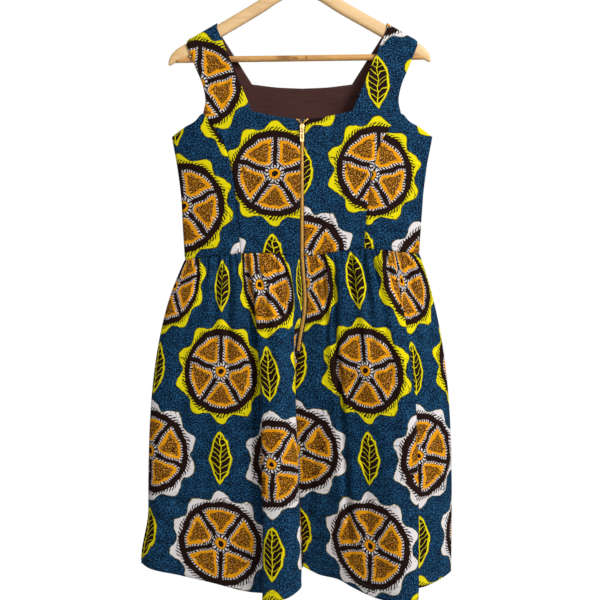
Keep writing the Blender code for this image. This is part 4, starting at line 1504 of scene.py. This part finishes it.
def slider_piece():
    width, height, thickness = SLIDER
    y = slider_face(SLIDER_DROP) + thickness / 2
    z = SHOULDER_Z - SLIDER_DROP
    # half of the shield's outline, as shares of its width and height
    half = (
        (0, 0.5), (0.2, 0.49), (0.36, 0.45), (0.46, 0.34), (0.5, 0.2), (0.49, 0.05), (0.43, -0.1),
        (0.4, -0.3), (0.37, -0.44), (0.28, -0.5),
    )
    shield = [(width * across, height * up) for across, up in (*half, *((-x, up) for x, up in half[:0:-1]))]
    plate = bevelled_plate("slider_plate", [shield], thickness, (0, y, z), 0.8)
    arch = []
    for angle in np.linspace(0, math.pi, 25):
        stand = (BRIDGE_STAND + thickness / 2) * min(1, 1.25 * math.sin(angle))
        arch.append((0, y - stand, z + BRIDGE_SPAN / 2 * math.cos(angle)))
    bridge = placed("slider_bridge", solid_mesh("slider_bridge", tube(arch, BRIDGE / 2)))
    return joined("slider_body", [plate, bridge], "pale brass")


def tab_piece():
    eye_foot = -TAB_BAR / 2 - TAB_EYE[1]
    loops = [
        rounded(TAB_WIDTH, TAB_LENGTH, TAB_CORNER, TAB_BAR / 2 - TAB_LENGTH / 2),
        rounded(*TAB_EYE, TAB_EYE[0] / 4, eye_foot + TAB_EYE[1] / 2),
        rounded(*TAB_SLOT, TAB_SLOT[0] * 0.48, eye_foot - TAB_WEB - TAB_SLOT[1] / 2),
    ]
    opening = BRIDGE_STAND - BRIDGE / 2
    axis = (0, slider_face(SLIDER_DROP) - opening / 2, SHOULDER_Z - TAB_DROP)
    return bevelled_plate("pull_tab", loops, TAB_THICK, axis, 0.3)


class DRESS_OT_stitching(bpy.types.Operator):
    """Sews the visible rows of stitches: neck, armholes, zip and hem"""

    bl_idname = "dress.stitching"
    bl_label = "Stitching"

    def execute(self, context):
        settings = context.scene.dress_sewing
        proud = CLOTH / 2 + settings.thread / MM * 0.22
        rows = {"zip": [], "neck": [], "hem": []}
        for mirror in (-1, 1):
            for grid, side in ((centre_front(), -1), (back_half(), 1)):
                points, _ = bodice_patch(grid, side, mirror)
                if side < 0:
                    line = offset_line(points, BESIDE_ZIP, True, slice(ZIP_ROW, None), side, proud)
                    rows["zip"].append(line)
                for first, end in ((True, NECK_ROW), (False, ARMHOLE_ROW[side])):
                    line = offset_line(points, BESIDE_EDGE, first, slice(STRAP_ROW, end), side, proud)
                    rows["neck"].append(line)
        for folds, side, columns, count, zip_side in SKIRT.values():
            points, _ = skirt_points(folds, side, columns, count, zip_side)
            hem = offset_line(points.transpose(1, 0, 2), HEM_TURN, False, slice(2, -2), side, proud)
            rows["hem"].append(hem)
            if zip_side:
                last = int(np.argmax(SHOULDER_Z - points[:, 0, 2] > zip_end() - 2))
                line = offset_line(points, BESIDE_ZIP, zip_side > 0, slice(3, last), side, proud)
                rows["zip"].append(line)
        shape = stitch_shape(settings.length / MM, settings.thread / MM)
        for name, lines in rows.items():
            row = (lines, shape, settings.pitch, "sewing thread", 0.08, settings.seed)
            settle(repeated(f"stitches_{name}", *row), "wax_print")
        return {"FINISHED"}


def offset_line(points, inset, first, rows, side, proud):
    """A line on the cloth's outer face at an even distance from the grid's first or last column."""
    away = edge_distance(points, 1, not first)[rows]
    surface = (points + outward(points, side) * proud)[rows]
    line = []
    for distances, across in zip(away, surface):
        order = np.argsort(distances)
        line.append([np.interp(inset, distances[order], across[order, axis]) for axis in range(3)])
    return line


class DRESS_OT_hanger(bpy.types.Operator):
    """Builds the hanger's arms, bar and hook"""

    bl_idname = "dress.hanger"
    bl_label = "Hanger"

    def execute(self, context):
        low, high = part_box("hanger_bar")
        ends = np.array([(x / MM - HANGER_SHIFT, BAR_DROP) for x in (low.x, high.x)])
        bar = [(x, 0.0, SHOULDER_Z - drop) for x, drop in on_hanger(np.linspace(*ends, 60))]
        for name, bm, material, slot, node in (
            ("arm_wood", ringed(arm_rings()), "arm wood", "hanger_wood", "hanger_arms"),
            ("bar_wood", tube(bar, BAR_DIAMETER / 2, 28), "bar wood", "hanger_wood", "hanger_bar"),
            ("hook_wire", tube(hook_line(), HOOK_WIRE / 2, 20), "hook steel", "hook_metal", "hanger_hook"),
        ):
            settle(placed(name, solid_mesh(name, bm), material), slot, node)
        return {"FINISHED"}


def aimed(name, data, place, aim):
    """A new object at a place, turned towards a point."""
    obj = tuned(placed(name, data), location=place)
    obj.rotation_euler = (Vector(aim) - Vector(place)).to_track_quat("-Z", "Y").to_euler()
    return obj


class DRESS_OT_stage(bpy.types.Operator):
    """Sets the camera, the pale floor and the soft lights"""

    bl_idname = "dress.stage"
    bl_label = "Stage"

    def execute(self, context):
        settings, scene = context.scene.dress_stage, context.scene
        camera = tuned(bpy.data.cameras.new("camera"), lens=settings.lens, sensor_width=36.0, clip_end=50.0)
        scene.camera = aimed("camera", camera, settings.camera_place, settings.camera_aim)
        for name, place, size, energy in (
            ("key light", (2.25, -2.3, 1.5), 1.15, settings.key),
            ("fill light", (0.2, -2.7, 0.3), 1.4, settings.fill),
            ("back light", (-1.4, 2.4, 0.6), 1.6, settings.back),
        ):
            light = tuned(bpy.data.lights.new(name, "AREA"), shape="DISK", size=size, energy=energy)
            aimed(name, light, place, (0, 0, -0.6))

        bm = bmesh.new()
        bmesh.ops.create_circle(bm, cap_ends=True, segments=96, radius=settings.floor_radius)
        mesh = mesh_of("pale_floor", bm, False)
        mesh.transform(Matrix.Translation((0, 0, settings.floor_drop)))
        finish = Finish("pale floor", (0.86, 0.86, 0.86), 0.9)
        finish.lay(finish.noise(finish.object_place(), 6, 2.0).ramp(0.3, 0.8) * 0.3, (0.82, 0.82, 0.82))
        finish.done()
        placed("pale_floor", mesh, "pale floor")

        world = tuned(bpy.data.worlds.new("studio"), use_nodes=True)
        nodes, links = world.node_tree.nodes, world.node_tree.links
        background, seen = nodes["Background"], nodes.new("ShaderNodeMapRange")
        background.inputs["Color"].default_value = (1, 1, 1, 1)
        seen.inputs["To Min"].default_value = settings.ambient
        seen.inputs["To Max"].default_value = settings.backdrop
        links.new(nodes.new("ShaderNodeLightPath").outputs["Is Camera Ray"], seen.inputs["Value"])
        links.new(seen.outputs["Result"], background.inputs["Strength"])
        scene.world = world
        scene.view_settings.view_transform = "Standard"
        return {"FINISHED"}


class DRESS_PT_panel(bpy.types.Panel):
    """Lists the dress's pieces and their settings"""

    bl_label = "Wax Print Dress"
    bl_space_type = "VIEW_3D"
    bl_region_type = "UI"
    bl_category = "Dress"

    def draw(self, context):
        for operator in OPERATORS:
            self.layout.operator(operator.bl_idname)
        for name, group in SETTINGS.items():
            box = self.layout.box()
            box.label(text=name.replace("dress_", "").title())
            for key in group.__annotations__:
                box.prop(getattr(context.scene, name), key)


SETTINGS = {
    "dress_cloth": ClothSettings,
    "dress_print": PrintSettings,
    "dress_lining": LiningSettings,
    "dress_zip": ZipSettings,
    "dress_sewing": SewingSettings,
    "dress_hanger": HangerSettings,
    "dress_stage": StageSettings,
}
OPERATORS = (
    DRESS_OT_finishes,
    DRESS_OT_hanger,
    DRESS_OT_bodice,
    DRESS_OT_skirt,
    DRESS_OT_zip,
    DRESS_OT_stitching,
    DRESS_OT_stage,
)
CLASSES = (*SETTINGS.values(), *OPERATORS, DRESS_PT_panel)


def register():
    for cls in CLASSES:
        bpy.utils.register_class(cls)
    for name, group in SETTINGS.items():
        setattr(bpy.types.Scene, name, PointerProperty(type=group))


def unregister():
    for name in SETTINGS:
        delattr(bpy.types.Scene, name)
    for cls in reversed(CLASSES):
        bpy.utils.unregister_class(cls)


def main():
    register()
    for operator in OPERATORS:
        getattr(bpy.ops.dress, operator.bl_idname.split(".")[1])()
    bpy.context.view_layer.update()


if __name__ == "__main__":
    main()
